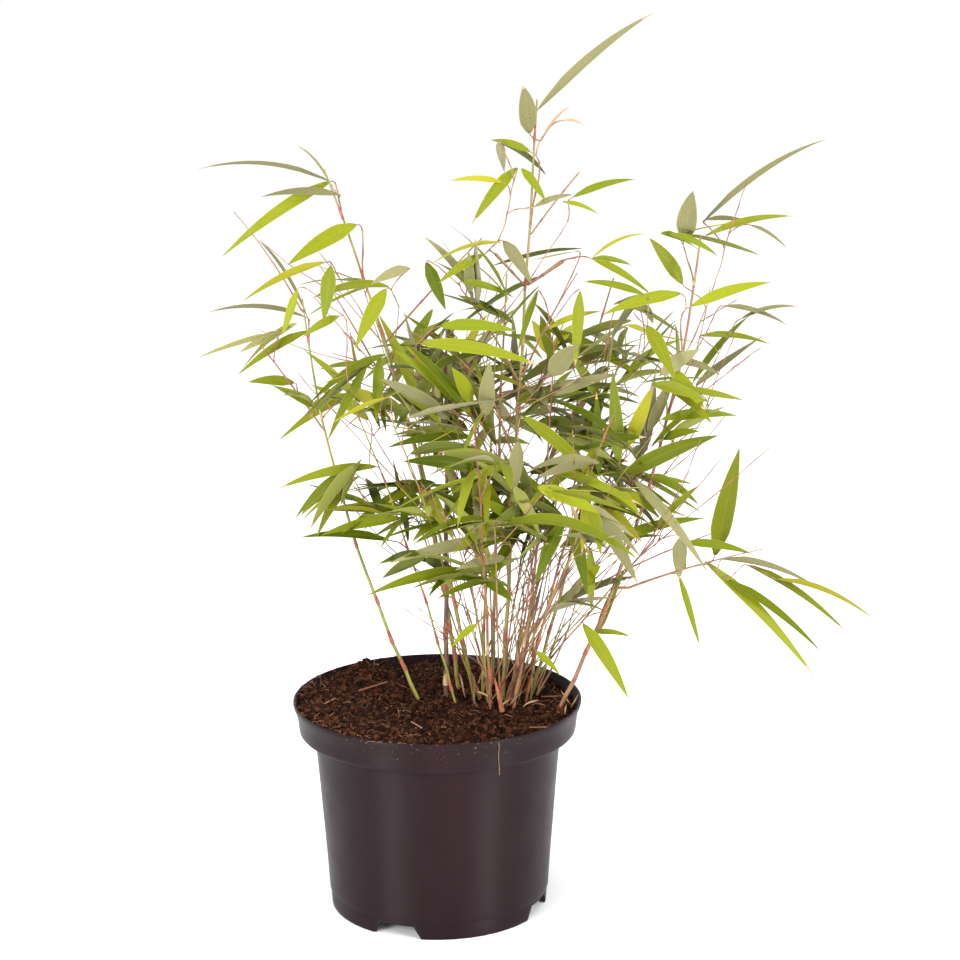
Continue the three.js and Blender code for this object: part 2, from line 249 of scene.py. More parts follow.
def limbTree():
    # paths of edges become tubes as thick as each point says, with bark raised by noise
    tree, given = startTree("limbs along paths", (
        ("Geometry", "Geometry", None),
        ("Sides", "Int", 8),
        ("Relief", "Float", 0.0),
        ("Relief scale", "Float", 400.0),
        ("Material", "Material", None),
    ))
    paths = addNode(tree, "GeometryNodeMeshToCurve", None, {"Mesh": given["Geometry"]})
    thick = addNode(tree, "GeometryNodeInputNamedAttribute", {"data_type": "FLOAT"}, {"Name": "thick"})
    ring = addNode(tree, "GeometryNodeCurvePrimitiveCircle", None,
                   {"Resolution": given["Sides"], "Radius": 1.0})
    tube = addNode(tree, "GeometryNodeCurveToMesh", None,
                   {"Curve": paths.outputs[0], "Profile Curve": ring.outputs[0],
                    "Scale": thick.outputs["Attribute"], "Fill Caps": True})
    grain = addNode(tree, "ShaderNodeTexNoise", None, {"Scale": given["Relief scale"], "Detail": 3.0})
    height = combine(tree, "MULTIPLY", combine(tree, "SUBTRACT", grain.outputs[0], 0.5), given["Relief"])
    normal = addNode(tree, "GeometryNodeInputNormal")
    push = addNode(tree, "ShaderNodeVectorMath", {"operation": "SCALE"},
                   {0: normal.outputs[0], "Scale": height})
    rough = addNode(tree, "GeometryNodeSetPosition", None,
                    {"Geometry": tube.outputs[0], "Offset": push.outputs[0]})
    smooth = addNode(tree, "GeometryNodeSetShadeSmooth", None, {"Geometry": rough.outputs[0]})
    return finishTree(tree, smooth, given["Material"])


def growThrough(tree, source, name, sizes):
    modifier = source.modifiers.new("grow", "NODES")
    modifier.node_group = tree
    for item in tree.interface.items_tree:
        if item.in_out == "INPUT" and item.name in sizes:
            modifier[item.identifier] = sizes[item.name]
    graph = bpy.context.evaluated_depsgraph_get()
    mesh = bpy.data.meshes.new_from_object(
        source.evaluated_get(graph), preserve_all_data_layers=True, depsgraph=graph)
    mesh.name = name
    bpy.data.objects.remove(source)
    shape = bmesh.new()
    shape.from_mesh(mesh)
    if shape.calc_volume(signed=True) < 0:  # faces point outwards
        bmesh.ops.reverse_faces(shape, faces=shape.faces)
        shape.to_mesh(mesh)
    shape.free()
    return newObject(name, mesh)


def pathObject(paths):
    # each path is its points, the thickness at each, and how near each is to a joint
    points = np.concatenate([path[0] for path in paths])
    edges, start = [], 0
    for path in paths:
        edges += [(start + i, start + i + 1) for i in range(len(path[0]) - 1)]
        start += len(path[0])
    mesh = newMesh("paths", points, [], edges)
    for i, name in ((1, "thick"), (2, "joint")):
        layer = mesh.attributes.new(name, "FLOAT", "POINT")
        layer.data.foreach_set("value", np.concatenate([path[i] for path in paths]).astype(np.float32))
    return newObject("paths", mesh)


limbs = limbTree()


def growLimbs(name, paths, style, material, slot, *nodes):
    piece = growThrough(limbs, pathObject(paths), name, {
        "Sides": style["sides"], "Relief": style["relief"], "Relief scale": style["grain"],
        "Material": material})
    finishPiece(piece, slot, *nodes)


def nodeCorners(node):
    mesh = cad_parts[node].data
    corners = np.zeros(len(mesh.vertices) * 3)
    mesh.vertices.foreach_get("co", corners)
    return corners.reshape(-1, 3)


def packedPath(node):
    # centreline and thickness of a packed limb, from its rings of corners, foot first
    corners = np.unique(np.round(nodeCorners(node), 6), axis=0)
    middle = corners.mean(0)
    axis = np.linalg.svd(corners - middle)[2][0]
    along = (corners - middle) @ (axis * np.sign(axis[2]))
    order = np.argsort(along)
    breaks = np.nonzero(np.diff(along[order]) > 4 * mm)[0] + 1
    rings = [corners[part] for part in np.split(order, breaks)]
    centres = np.array([ring.mean(0) for ring in rings])
    thick = np.array([np.linalg.norm(ring - ring.mean(0), axis=1).mean() for ring in rings])
    return centres, thick


def smoothPath(centres, thick, step, extra=0.0):
    # an even run of points on the curve through the centres, which may run on past the end
    length = np.concatenate([[0], np.cumsum(np.linalg.norm(np.diff(centres, axis=0), axis=1))])
    curve = np.polyfit(length, centres, min(3, len(centres) - 1))
    count = max(4, int((length[-1] + extra) / step) + 1)
    along = np.linspace(0, length[-1] + extra, count)
    points = np.stack([np.polyval(curve[:, i], along) for i in range(3)], axis=1)
    taper = np.polyfit(length, thick, 1)
    return along, points, np.maximum(np.polyval(taper, along), 0.3 * mm)


# ---- bark and sheath materials ----


def caneBark(name, ground, shade, flush, ring):
    # living bamboo cane: smooth and half gloss, streaked along its length, dark at each joint
    material, tree, surface = startMaterial(name, Roughness=0.42, IOR=1.46)
    streaks = noiseAt(tree, drawnOut(tree, 0.12), 900.0, 3.0)  # 1 mm streaks
    patches = noiseAt(tree, objectPlace(tree), 28.0, 2.0)  # 35 mm patches
    base = ramp(tree, streaks, (0.35, shade), (0.65, ground))
    tinted = blend(tree, remap(tree, patches, 0.45, 0.62), base, flush)
    joint = addNode(tree, "ShaderNodeAttribute", {"attribute_name": "joint"}).outputs["Fac"]
    finishSurface(tree, surface, blend(tree, joint, tinted, ring), streaks, 0.25, 0.2 * mm)
    return material


def paperSheath(name, pale, dark):
    # dry cane sheath: matt like brown paper, with fine fibres along it
    material, tree, surface = startMaterial(name, Roughness=0.8)
    fibres = noiseAt(tree, drawnOut(tree, 0.2), 700.0, 4.0)  # 1.5 mm fibres
    finishSurface(tree, surface, ramp(tree, fibres, (0.35, dark), (0.65, pale)), fibres, 0.4, 0.2 * mm)
    return material


barks = {
    "olive": caneBark("olive cane bark", "#7f7a30", "#666226", "#86703a", "#6d4630"),
    "green": caneBark("green cane bark", "#7b7f28", "#626a20", "#8a8236", "#6e5230"),
    "red": caneBark("red cane bark", "#8c5a44", "#744636", "#7c6232", "#5e3228"),
    "purple": caneBark("purple cane bark", "#5a3c34", "#452e28", "#66552e", "#3a2420"),
    "twig": caneBark("red twig bark", "#98614a", "#7a4d3a", "#86703c", "#5e3629"),
    "dry": caneBark("dry twig bark", "#9c7b5a", "#816243", "#926a50", "#674430"),
}
sheaths = {
    "red": paperSheath("red papery sheath", "#9c5c3e", "#743c24"),
    "straw": paperSheath("straw papery sheath", "#b39a70", "#8a6c46"),
}

# ---- stems ----
canes = dict(
    step=2.0 * mm,
    sides=10,
    relief=0.12 * mm,
    grain=500.0,
    firstJoint=11 * mm,
    jointGrowth=1.45,
    jointLength=54 * mm,
    jointVary=9 * mm,
    tipClear=8 * mm,  # no joint comes this near the tip
    swelling=0.2,  # how much thicker a cane is at its joint
    swellingLength=1.3 * mm,
    kink=0.5 * mm,
    straightFoot=20 * mm,  # the zigzag sets in over this length
    twigsAbove=225 * mm,
    sheathsAbove=205 * mm,  # lower joints have lost most of theirs
    lowSheathShare=0.3,
    sheathSteps=(5, 9),
    sheathRoom=10,  # steps that it needs above its joint
    sheathLift=0.4 * mm,  # how far a sheath stands off at its foot
    sheathGrip=-0.4,  # and, as a share of that, at its tip
    strawShare=0.25,
    bark=dict(left_low="green", left_tall="olive", left_thick="purple", left_thin="green",
              centre_tall="olive", centre_red="red", right_tall="red", right_inner="olive",
              front_centre="red", front_left="olive", front_right="red", back_centre="olive",
              back_left="green", back_right="purple", back_olive="green"),
)
anchorPoints, anchorAims, anchorThick = [], [], []  # where twigs may grow from
stemRuns = []
sheathPaths = {"red": [], "straw": []}
sheathStyle = dict(sides=8, relief=0.3 * mm, grain=300.0)


def addAnchors(points, thick, indexes):
    aims = unit(np.gradient(points, axis=0))
    for i in indexes:
        anchorPoints.append(points[i])
        anchorAims.append(aims[i])
        anchorThick.append(thick[i])


def jointPlaces(length, random):
    places, gap = [canes["firstJoint"]], canes["firstJoint"]
    while places[-1] < length - canes["tipClear"]:
        longest = canes["jointLength"] + random.uniform(-1, 1) * canes["jointVary"]
        gap = min(gap * canes["jointGrowth"], longest)
        places.append(places[-1] + gap)
    return np.array(places[:-1])


def buildStem(name, seed):
    random = np.random.default_rng(seed)
    along, points, thick = smoothPath(*packedPath("stem_" + name), canes["step"])
    joints = jointPlaces(along[-1], random)
    across = unit(np.cross(points[-1] - points[0], (0.0, 1.0, 0.0)))
    near = np.exp(-((along[:, None] - joints[None]) / canes["swellingLength"]) ** 2).max(1)
    side = np.interp(along, joints, canes["kink"] * (-1.0) ** np.arange(len(joints)))
    side *= np.clip(along / canes["straightFoot"], 0, 1)
    points = points + across * side[:, None]
    steps = [int(np.argmin(abs(along - joint))) for joint in joints]
    addAnchors(points, thick, [i for i in steps if points[i][2] > canes["twigsAbove"]] + [len(points) - 1])
    stemRuns.append(points)
    for i in steps:
        if i + canes["sheathRoom"] >= len(points):
            continue
        if points[i][2] > canes["sheathsAbove"] or random.random() < canes["lowSheathShare"]:
            count = int(random.integers(*canes["sheathSteps"])) + 1
            standOff = canes["sheathLift"] * np.linspace(1, canes["sheathGrip"], count)
            kind = "straw" if random.random() < canes["strawShare"] else "red"
            sheathPaths[kind].append((points[i:i + count], thick[i:i + count] + standOff, np.zeros(count)))
    growLimbs("cane_" + name, [(points, thick * (1 + canes["swelling"] * near), near)], canes,
              barks[canes["bark"][name]], "stems", "stem_" + name)


for seed, name in enumerate(canes["bark"]):
    buildStem(name, seed + 1)
print("stems:", len(canes["bark"]))

# ---- boughs ----
branches = dict(
    step=3.0 * mm,
    sides=8,
    relief=0.1 * mm,
    grain=600.0,
    runOn=24 * mm,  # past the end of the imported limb, among the leaves
    anchorEvery=5,
    jointSpacing=27 * mm,
    firstJoint=13 * mm,
    swelling=0.15,
    swellingLength=1.2 * mm,
    footShares=(0.0, 0.35, 0.7),  # places on the way from the stem to the first point
    footFlare=(1.3, 1.05, 1.0),
    footShade=(1.0, 0.3, 0.0),
)


def stemFoot(points):
    # the foot runs back into the bark of the stem that the bough grew from
    back = unit(points[0] - points[2])
    spots = np.concatenate(stemRuns)
    away = spots - points[0]
    cost = np.linalg.norm(away, axis=1) * (2.0 - (unit(away) * back).sum(1))
    spot = spots[int(np.argmin(cost))]
    return np.array([spot + (points[0] - spot) * share for share in branches["footShares"]])


boughNodes = sorted(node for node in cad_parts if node.startswith("bough_"))
for node in boughNodes:
    along, points, thick = smoothPath(*packedPath(node), branches["step"], branches["runOn"])
    off = (along % branches["jointSpacing"]) - branches["firstJoint"]
    near = np.exp(-(off / branches["swellingLength"]) ** 2)
    every = branches["anchorEvery"]
    addAnchors(points, thick, list(range(every, len(points), every)) + [len(points) - 1])
    foot = stemFoot(points)
    points = np.concatenate([foot, points])
    thick = np.concatenate([np.full(len(foot), thick[0]) * branches["footFlare"], thick])
    near = np.concatenate([branches["footShade"], near])
    thick = thick * (1 + branches["swelling"] * near)
    growLimbs(node.replace("bough_", "branch_"), [(points, thick, near)], branches, barks["red"],
              "boughs", node)
print("boughs:", len(boughNodes))

# ---- young shoots: sheaths that overlap like a closed bud ----
shoots = dict(
    step=1.0 * mm,
    sides=10,
    relief=0.25 * mm,
    grain=420.0,
    sheathCount=4,
    flare=1.12,  # thickness where a sheath opens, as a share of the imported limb's
    swell=0.16,  # how much of that it loses by the next
    coat=dict(orange=sheaths["red"], purple=barks["purple"]),
)
for name, coat in shoots["coat"].items():
    along, points, thick = smoothPath(*packedPath("shoot_" + name), shoots["step"])
    share = along / along[-1]
    scales = (share * shoots["sheathCount"]) % 1.0
    blunt = np.sqrt(np.clip(1.02 - share ** 2.2, 0.02, 1))  # drawn in to a rounded tip
    body = thick * (shoots["flare"] - shoots["swell"] * scales) * blunt
    growLimbs("bud_" + name, [(points, body, np.clip(scales * 3 - 2, 0, 1))], shoots, coat,
              "shoots", "shoot_" + name)
print("shoots:", len(shoots["coat"]))

# ---- pot ----
pot = dict(
    # radius and height of each turn of the wall, from the rim down the outside and back up the inside
    outside=((111.9, 167.0), (112.4, 166.6), (112.5, 165.8), (112.0, 163.4), (110.3, 159.2), (109.2, 154.0),
             (108.6, 149.0), (108.3, 145.4), (107.9, 143.6), (106.9, 142.5), (105.2, 142.1), (99.2, 141.7),
             (97.4, 141.1), (96.6, 139.9), (96.1, 137.5), (94.3, 118), (92.2, 92), (90.2, 66), (88.2, 40),
             (86.9, 20), (86.6, 14.6), (86.3, 13.9), (85.5, 13.4), (85.5, 9.0), (85.2, 4.0), (84.9, 0.6),
             (84.4, 0.0)),
    underneath=((82.9, 0.0), (82.4, 0.6), (82.4, 10.2), (81.6, 11.0), (70, 11.0), (48.0, 11.0), (46.6, 10.2),
                (42.4, 0.6), (41.6, 0.0), (20, 0.0)),
    inside=((20, 1.7), (40.6, 1.7), (45.4, 12.7), (84.2, 12.7), (86.4, 40), (88.4, 66), (92.5, 118),
            (94.6, 142.6), (104.8, 143.8), (106.2, 145.6), (106.9, 151), (107.6, 156), (109.2, 161.4),
            (110.6, 165.6), (111.0, 166.8)),
    columns=256,
    notchHeadings=(-113, -23, 67, 157),
    notchHeight=10.0,
    notchTop=27.0,
    notchFoot=39.0,
    notchRound=0.25,  # the corners of the notches turn over this distance
    ringTop=13.4,
    channelTop=11.0,
    keenEdge=38,  # degrees; gentler turns are shaded smooth
)


def mouldedPolypropylene():
    # injection moulded pot plastic: dark, satin, faintly streaked where it flowed, dusty at the rim.
    # Fine rings left by the turned mould draw its highlights out upright
    material, tree, surface = startMaterial("moulded polypropylene", IOR=1.49, Specular_IOR_Level=0.12,
                                            Anisotropic=0.85, Anisotropic_Rotation=0.25)
    rings = addNode(tree, "ShaderNodeTangent", {"direction_type": "RADIAL", "axis": "Z"})
    tree.links.new(rings.outputs[0], surface.inputs["Tangent"])
    place = objectPlace(tree)
    flow = noiseAt(tree, drawnOut(tree, 0.15), 30.0, 3.0)  # 30 mm wide flow bands
    base = ramp(tree, flow, (0.3, "#170b0e"), (0.7, "#1e1014"))
    height = addNode(tree, "ShaderNodeSeparateXYZ", None, {0: place}).outputs["Z"]
    specks = remap(tree, noiseAt(tree, place, 520.0, 2.0), 0.66, 0.74)  # 2 mm apart
    dusty = combine(tree, "MULTIPLY", remap(tree, height, 0.148, 0.166), specks)
    coated = blend(tree, combine(tree, "MULTIPLY", dusty, 0.55), base, "#8d7462")
    scuff = noiseAt(tree, place, 45.0, 5.0)  # 20 mm patches
    tree.links.new(remap(tree, scuff, 0.3, 0.7, 0.4, 0.48), surface.inputs["Roughness"])
    grain = noiseAt(tree, place, 1600.0, 1.0)  # 0.6 mm grain
    finishSurface(tree, surface, coated, grain, 0.12, 0.1 * mm)
    return material


def notchLift(turn):
    # how high the foot ring is cut away at a heading
    ringRadius = pot["outside"][-1][0]
    lift = 0.0
    for middle in pot["notchHeadings"]:
        off = abs((turn - math.radians(middle) + math.pi) % (2 * math.pi) - math.pi) * ringRadius
        slope = (pot["notchFoot"] / 2 - off) / (pot["notchFoot"] / 2 - pot["notchTop"] / 2)
        lift = max(lift, pot["notchHeight"] * min(1.0, max(0.0, slope)))
    return lift


def potColumns():
    # headings of the columns of corners: an even run, with pairs at each corner of a notch
    turns = list(np.linspace(0, 2 * math.pi, pot["columns"], endpoint=False))
    ringRadius = pot["outside"][-1][0]
    for middle in pot["notchHeadings"]:
        for edge in (pot["notchTop"] / 2, pot["notchFoot"] / 2):
            for side in (-1, 1):
                for soft in (-pot["notchRound"], pot["notchRound"]):
                    turns.append((math.radians(middle) + (side * edge + soft) / ringRadius) % (2 * math.pi))
    return sorted(turns)


def buildPot():
    turns = potColumns()
    profile = [*pot["outside"], *pot["underneath"], *pot["inside"]]
    outer = len(pot["outside"])
    below = outer + len(pot["underneath"]) - 1  # the last row under the pad
    vertices, rows, columns = [], len(profile), len(turns)
    for turn in turns:
        lift = notchLift(turn)
        for i, (radius, height) in enumerate(profile):
            top = pot["ringTop"] if i < outer + 1 else pot["channelTop"]
            if i < outer + 4 and height < top:  # the rows that the notches lift
                height = lift + height * (top - lift) / top
            vertices.append(around(radius, turn, height))
    faces = []
    for c in range(columns):
        n = (c + 1) % columns
        for r in range(rows):
            if r != below:
                s = (r + 1) % rows
                faces.append((c * rows + r, c * rows + s, n * rows + s, n * rows + r))
    faces.append([c * rows + below for c in range(columns)])  # the pad's middle, under and over
    faces.append([c * rows + below + 1 for c in reversed(range(columns))])
    mesh = newMesh("pot", np.array(vertices) * mm, faces)
    shape = bmesh.new()
    shape.from_mesh(mesh)
    bmesh.ops.recalc_face_normals(shape, faces=shape.faces)
    for edge in shape.edges:
        edge.smooth = edge.calc_face_angle(0) < math.radians(pot["keenEdge"])
    for face in shape.faces:
        face.smooth = True
    shape.to_mesh(mesh)
    shape.free()
    finishPiece(newObject("nursery_pot", mesh, [mouldedPolypropylene()]), "pot", "pot")


buildPot()
print("pot ready")

# ---- soil ----
ground = dict(
    level=161.8,
    fall=3.4,  # how much lower the far right edge is than the middle
    fallHeading=40,
    fallReach=108,
    rings=64,
    columns=180,
    clear=0.6,  # between the soil and the wall
    edgeHeight=161,  # where the top meets the wall
    highest=166.5,
    rimHeap=4.0,  # how much higher it may lie in the corner with its big heap
    rimHeapCorner=(-40, 50),
    lumps=((16.0, 1.4), (8.0, 2.0), (3.6, 1.6), (1.9, 0.9)),  # width and height of each size of lump
    lumpGain=1.6,
    # heaps and hollows: x, y, how wide and how high
    heaps=((-60, 84, 15, 6.5), (-96, 36, 12, 2.4), (44, 12, 28, 2.2), (60, -40, 15, -6.0),
           (-40, -70, 30, 1.4), (8, 84, 26, 1.6), (82, -48, 15, -3.0), (-70, -20, 22, 1.0)),
    # radius and height of each turn below the top, clear of the step under the collar and of the channel;
    # no radius means that it lies along the wall
    side=((0, 150), (103.6, 144.6), (93.8, 142.6), (0, 130)),
    cornerHeight=16,
    foot=((46.5, 13.4), (40.8, 2.4)),
)
noiseSeeds = np.random.default_rng(5).uniform(0, 100, (len(ground["lumps"]), 3))


def soilHeight(x, y):
    # millimetres in, millimetres out
    turn = math.radians(ground["fallHeading"])
    along = x * math.cos(turn) + y * math.sin(turn)
    height = ground["level"] - ground["fall"] * along / ground["fallReach"]
    for (width, tall), seed in zip(ground["lumps"], noiseSeeds):
        height += tall * noise.noise(Vector((x / width, y / width, 0)) + Vector(seed)) * ground["lumpGain"]
    for hx, hy, wide, tall in ground["heaps"]:
        height += tall * math.exp(-((x - hx) ** 2 + (y - hy) ** 2) / wide ** 2)
    return height


def besideWall(height):
    # the soil's radius at a height, just clear of the pot's inner wall
    wall = pot["inside"][3:]
    return float(np.interp(height, [z for r, z in wall], [r for r, z in wall])) - ground["clear"]


def peat(name, dark, pale, roughness):
    # moist peat compost: its own colour runs from near black to red brown, and the ramp follows the bump, so
    # it is also painted shade in the hollows and painted highlight on the tops
    material, tree, surface = startMaterial(name, Roughness=roughness, Specular_IOR_Level=0.08)
    clods = noiseAt(tree, objectPlace(tree), 150.0, 9.0, 0.68)  # 6 mm clods
    # the dark end lies in the bump's hollows and the pale end on its tops: painted shade and painted
    # highlight
    finishSurface(tree, surface, ramp(tree, clods, (0.38, dark), (0.66, pale)), clods, 0.9, 1.2 * mm)
    return material


def soilSpot(share, turn):
    # a place on the soil's top, a share of the way from the middle to the wall
    x, y, _ = around(besideWall(ground["edgeHeight"]) * share, turn, 0)
    heaped = x < ground["rimHeapCorner"][0] and y > ground["rimHeapCorner"][1]
    return x, y, min(soilHeight(x, y), ground["highest"] + ground["rimHeap"] * heaped)


def buildSoil():
    columns = ground["columns"]
    turns = [2 * math.pi * c / columns for c in range(columns)]
    vertices = [(0, 0, soilHeight(0, 0))]
    for ring in range(ground["rings"]):
        vertices += [soilSpot(math.sqrt((ring + 1) / ground["rings"]), turn) for turn in turns]
    topCount = len(vertices)
    sides = [(radius or besideWall(height), height) for radius, height in ground["side"]]
    sides += [(besideWall(ground["cornerHeight"]), ground["foot"][0][1]), *ground["foot"]]
    for radius, height in sides:
        vertices += [around(radius, turn, height) for turn in turns]
    rings = ground["rings"] + len(sides)
    faces = [(0, 1 + c, 1 + (c + 1) % columns) for c in range(columns)]
    for r in range(rings - 1):
        for c in range(columns):
            a, b = 1 + r * columns + c, 1 + r * columns + (c + 1) % columns
            faces.append((a, a + columns, b + columns, b))
    faces.append([1 + (rings - 1) * columns + c for c in reversed(range(columns))])
    mesh = newMesh("soil", np.array(vertices) * mm, faces)
    mesh.shade_smooth()
    moist = peat("moist peat", "#0c0402", "#3a1c10", 0.92)
    finishPiece(newObject("peat_soil", mesh, [moist]), "soil", "soil")
    topFaces = [face for face in faces if max(face) < topCount]
    return newMesh("soil top", np.array(vertices[:topCount]) * mm, topFaces)


soilTop = buildSoil()


def scatterTree():
    # loose bits on a surface, each turned and sized at random
    tree, given = startTree("bits on a surface", (
        ("Geometry", "Geometry", None),
        ("Density", "Float", 1000.0),
        ("Seed", "Int", 0),
        ("Bit", "Object", None),
        ("Tumble low", "Vector", None),
        ("Tumble high", "Vector", None),
        ("Smallest", "Float", 0.5),
        ("Largest", "Float", 1.5),
        ("Lift", "Vector", None),
        ("Material", "Material", None),
    ))
    spots = addNode(tree, "GeometryNodeDistributePointsOnFaces", {"distribute_method": "RANDOM"},
                    {"Mesh": given["Geometry"], "Density": given["Density"], "Seed": given["Seed"]})
    lifted = addNode(tree, "GeometryNodeSetPosition", None,
                     {"Geometry": spots.outputs[0], "Offset": given["Lift"]})
    bit = addNode(tree, "GeometryNodeObjectInfo", None, {"Object": given["Bit"]})
    turned = addNode(tree, "FunctionNodeRandomValue", {"data_type": "FLOAT_VECTOR"},
                     {0: given["Tumble low"], 1: given["Tumble high"], "Seed": given["Seed"]})
    sized = addNode(tree, "FunctionNodeRandomValue", {"data_type": "FLOAT"},
                    {2: given["Smallest"], 3: given["Largest"], "Seed": given["Seed"]})
    placed = addNode(tree, "GeometryNodeInstanceOnPoints", None,
                     {"Points": lifted.outputs[0], "Instance": bit.outputs["Geometry"],
                      "Rotation": turned.outputs[0], "Scale": sized.outputs[1]})
    return finishTree(tree, placed, given["Material"])


def crumb(seed, flat):
    # one rough lump about 2 mm across
    random = np.random.default_rng(seed)
    shape = bmesh.new()
    bmesh.ops.create_icosphere(shape, subdivisions=1, radius=1.0 * mm)
    for corner in shape.verts:
        corner.co *= random.uniform(0.6, 1.25)
        corner.co.z *= flat
    mesh = bpy.data.meshes.new("crumb")
    shape.to_mesh(mesh)
    shape.free()
    return newObject("crumb", mesh)


def fibre(seed, length, thick, curl):
    # one root or straw fibre that lies in a loose curve
    random = np.random.default_rng(seed)
    bends = 9
    turns = np.cumsum(random.normal(0, curl, bends))
    steps = np.stack([np.cos(turns), np.sin(turns), random.normal(0, 0.25, bends)], axis=1) * length / bends
    points = np.concatenate([[(0, 0, 0)], np.cumsum(steps, axis=0)])
    points -= points.mean(0)
    size = thick * np.linspace(1.0, 0.55, len(points))
    return growThrough(limbs, pathObject([(points, size, np.zeros(len(points)))]), "fibre", {"Sides": 3})


# kind: bit, how many in a square metre, tumble from level in radians, sizes, material
litter = {
    "peat_crumbs": (crumb(1, 0.8), 42000, 3.1, (0.35, 1.2),
                    peat("dark peat crumb", "#0f0503", "#422413", 0.95)),
    "peat_clods": (crumb(2, 0.75), 11000, 3.1, (1.2, 4.2),
                   peat("brown peat clod", "#0f0503", "#55321f", 0.95)),
    "bark_chips": (crumb(3, 0.3), 2400, 0.8, (0.9, 2.5),
                   peat("shredded bark", "#2c160d", "#7a4c36", 0.8)),
    "root_fibres": (fibre(4, 8 * mm, 0.15 * mm, 0.6), 30000, 0.7, (0.4, 1.6),
                    paperSheath("peat fibre", "#8a5a3a", "#452819")),
    "straw_fibres": (fibre(9, 11 * mm, 0.28 * mm, 0.2), 1900, 0.5, (0.4, 1.3),
                     paperSheath("straw fibre", "#b98f66", "#7a5036")),
}
litterLift = 0.35 * mm
anyHeading = 6.283  # radians


def buildLitter():
    scatter = scatterTree()
    for seed, (name, (bit, density, tumble, (small, large), material)) in enumerate(litter.items()):
        source = newObject("soil top", soilTop.copy())
        piece = growThrough(scatter, source, name, {
            "Density": float(density), "Seed": seed + 3, "Bit": bit,
            "Tumble low": (-tumble, -tumble, 0.0), "Tumble high": (tumble, tumble, anyHeading),
            "Smallest": small, "Largest": large, "Lift": (0.0, 0.0, litterLift), "Material": material})
        bpy.data.objects.remove(bit)
        finishPiece(piece, "soil")
        print(name, len(piece.data.polygons))


buildLitter()
print("soil ready")

# ---- leaves ----
blade = dict(
    rows=10,
    widest=0.3,  # where a leaf is widest, as a share of its length
    fullness=0.8,  # lower gives straighter sides
    tail=0.35,  # how much the last third is drawn in to a fine tip
    stalk=0.045,  # the short stalk's share of the length
    stalkWidth=0.13,
    tipWidth=0.012,
    thick=0.32 * mm,
    thinnest=0.35,  # thickness at the margin's ends, as a share of that
    fold=(8, 26),  # degrees that each half rises from the midrib
    twist=(-35, 35),
    droop=(8, 46),
    bendAt=0.48,
    tilt=36,  # how unevenly leaves lie about level, in degrees
    dryFrom=(0.86, 0.93, 1.0),  # where a dry tip starts, as a share of the length
    dryChances=(0.25, 0.35, 0.4),
)
# each kind: upper side, underside, how glossy. Bright and deep are one green as painted light and painted
# shade, with mid between
leafKinds = {
    "bright": ("#6b7110", "#7a7d3c", 0.46),
    "fresh": ("#84811a", "#88844c", 0.48),
    "mid": ("#5e670c", "#686b30", 0.46),
    "deep": ("#444f03", "#535924", 0.44),
    "grey": ("#706d49", "#7d775c", 0.58),
    "straw": ("#a1825e", "#907456", 0.70),
}
kindNames = list(leafKinds)


def leafSkin(name, colour, roughness, veinDepth):
    # waxy bamboo leaf: 12 fine veins run its length, 1 mm apart, with a pale midrib and margin;
    # duller underneath
    material, tree, surface = startMaterial(name, Roughness=roughness, IOR=1.45, Specular_IOR_Level=0.13)
    where = addNode(tree, "ShaderNodeUVMap", {"uv_map": "blade"}).outputs[0]
    veins = addNode(tree, "ShaderNodeTexWave", {"bands_direction": "X"},
                    {"Vector": where, "Scale": 3.8, "Distortion": 0.3}).outputs["Fac"]
    tone = addNode(tree, "ShaderNodeAttribute", {"attribute_name": "tone"}).outputs["Fac"]
    shade = linear(colour)
    for value, dimmest, lightest in ((veins, 0.9, 1.08), (tone, 0.84, 1.22)):
        light = remap(tree, value, 0.0, 1.0, dimmest, lightest)
        shade = addNode(tree, "ShaderNodeHueSaturation", None, {"Color": shade, "Value": light}).outputs[0]
    across = addNode(tree, "ShaderNodeSeparateXYZ", None, {0: where}).outputs["X"]
    side = combine(tree, "ABSOLUTE", combine(tree, "SUBTRACT", across, 0.5), 0.0)
    margin = remap(tree, side, 0.44, 0.5, 0.0, 0.35)
    midrib = remap(tree, side, 0.04, 0.0, 0.0, 0.12)
    lined = blend(tree, combine(tree, "MAXIMUM", margin, midrib), shade, "#a5a24c")
    finishSurface(tree, surface, lined, veins, veinDepth, 0.1 * mm)
    return material


leafMaterials = []
for kind, (upper, under, roughness) in leafKinds.items():
    leafMaterials.append(leafSkin(kind + " bamboo leaf", upper, roughness, 0.15))
    leafMaterials.append(leafSkin(kind + " bamboo leaf underside", under, roughness + 0.12, 0.3))
strawSlot = 2 * kindNames.index("straw")


def outline(share):
    # half width along a leaf: a stalk, a quick swell, then a long taper to a fine tip
    body = np.clip((share - blade["stalk"]) / (1 - blade["stalk"]), 0, 1)
    end = blade["fullness"]
    rise = end * blade["widest"] / (1 - blade["widest"])
    swell = body ** rise * (1 - body) ** end
    peak = blade["widest"] ** rise * (1 - blade["widest"]) ** end
    drawn = 1 - blade["tail"] * share ** 5
    return np.maximum(swell * drawn / peak, blade["stalkWidth"] * (1 - share) ** 0.5 + blade["tipWidth"])


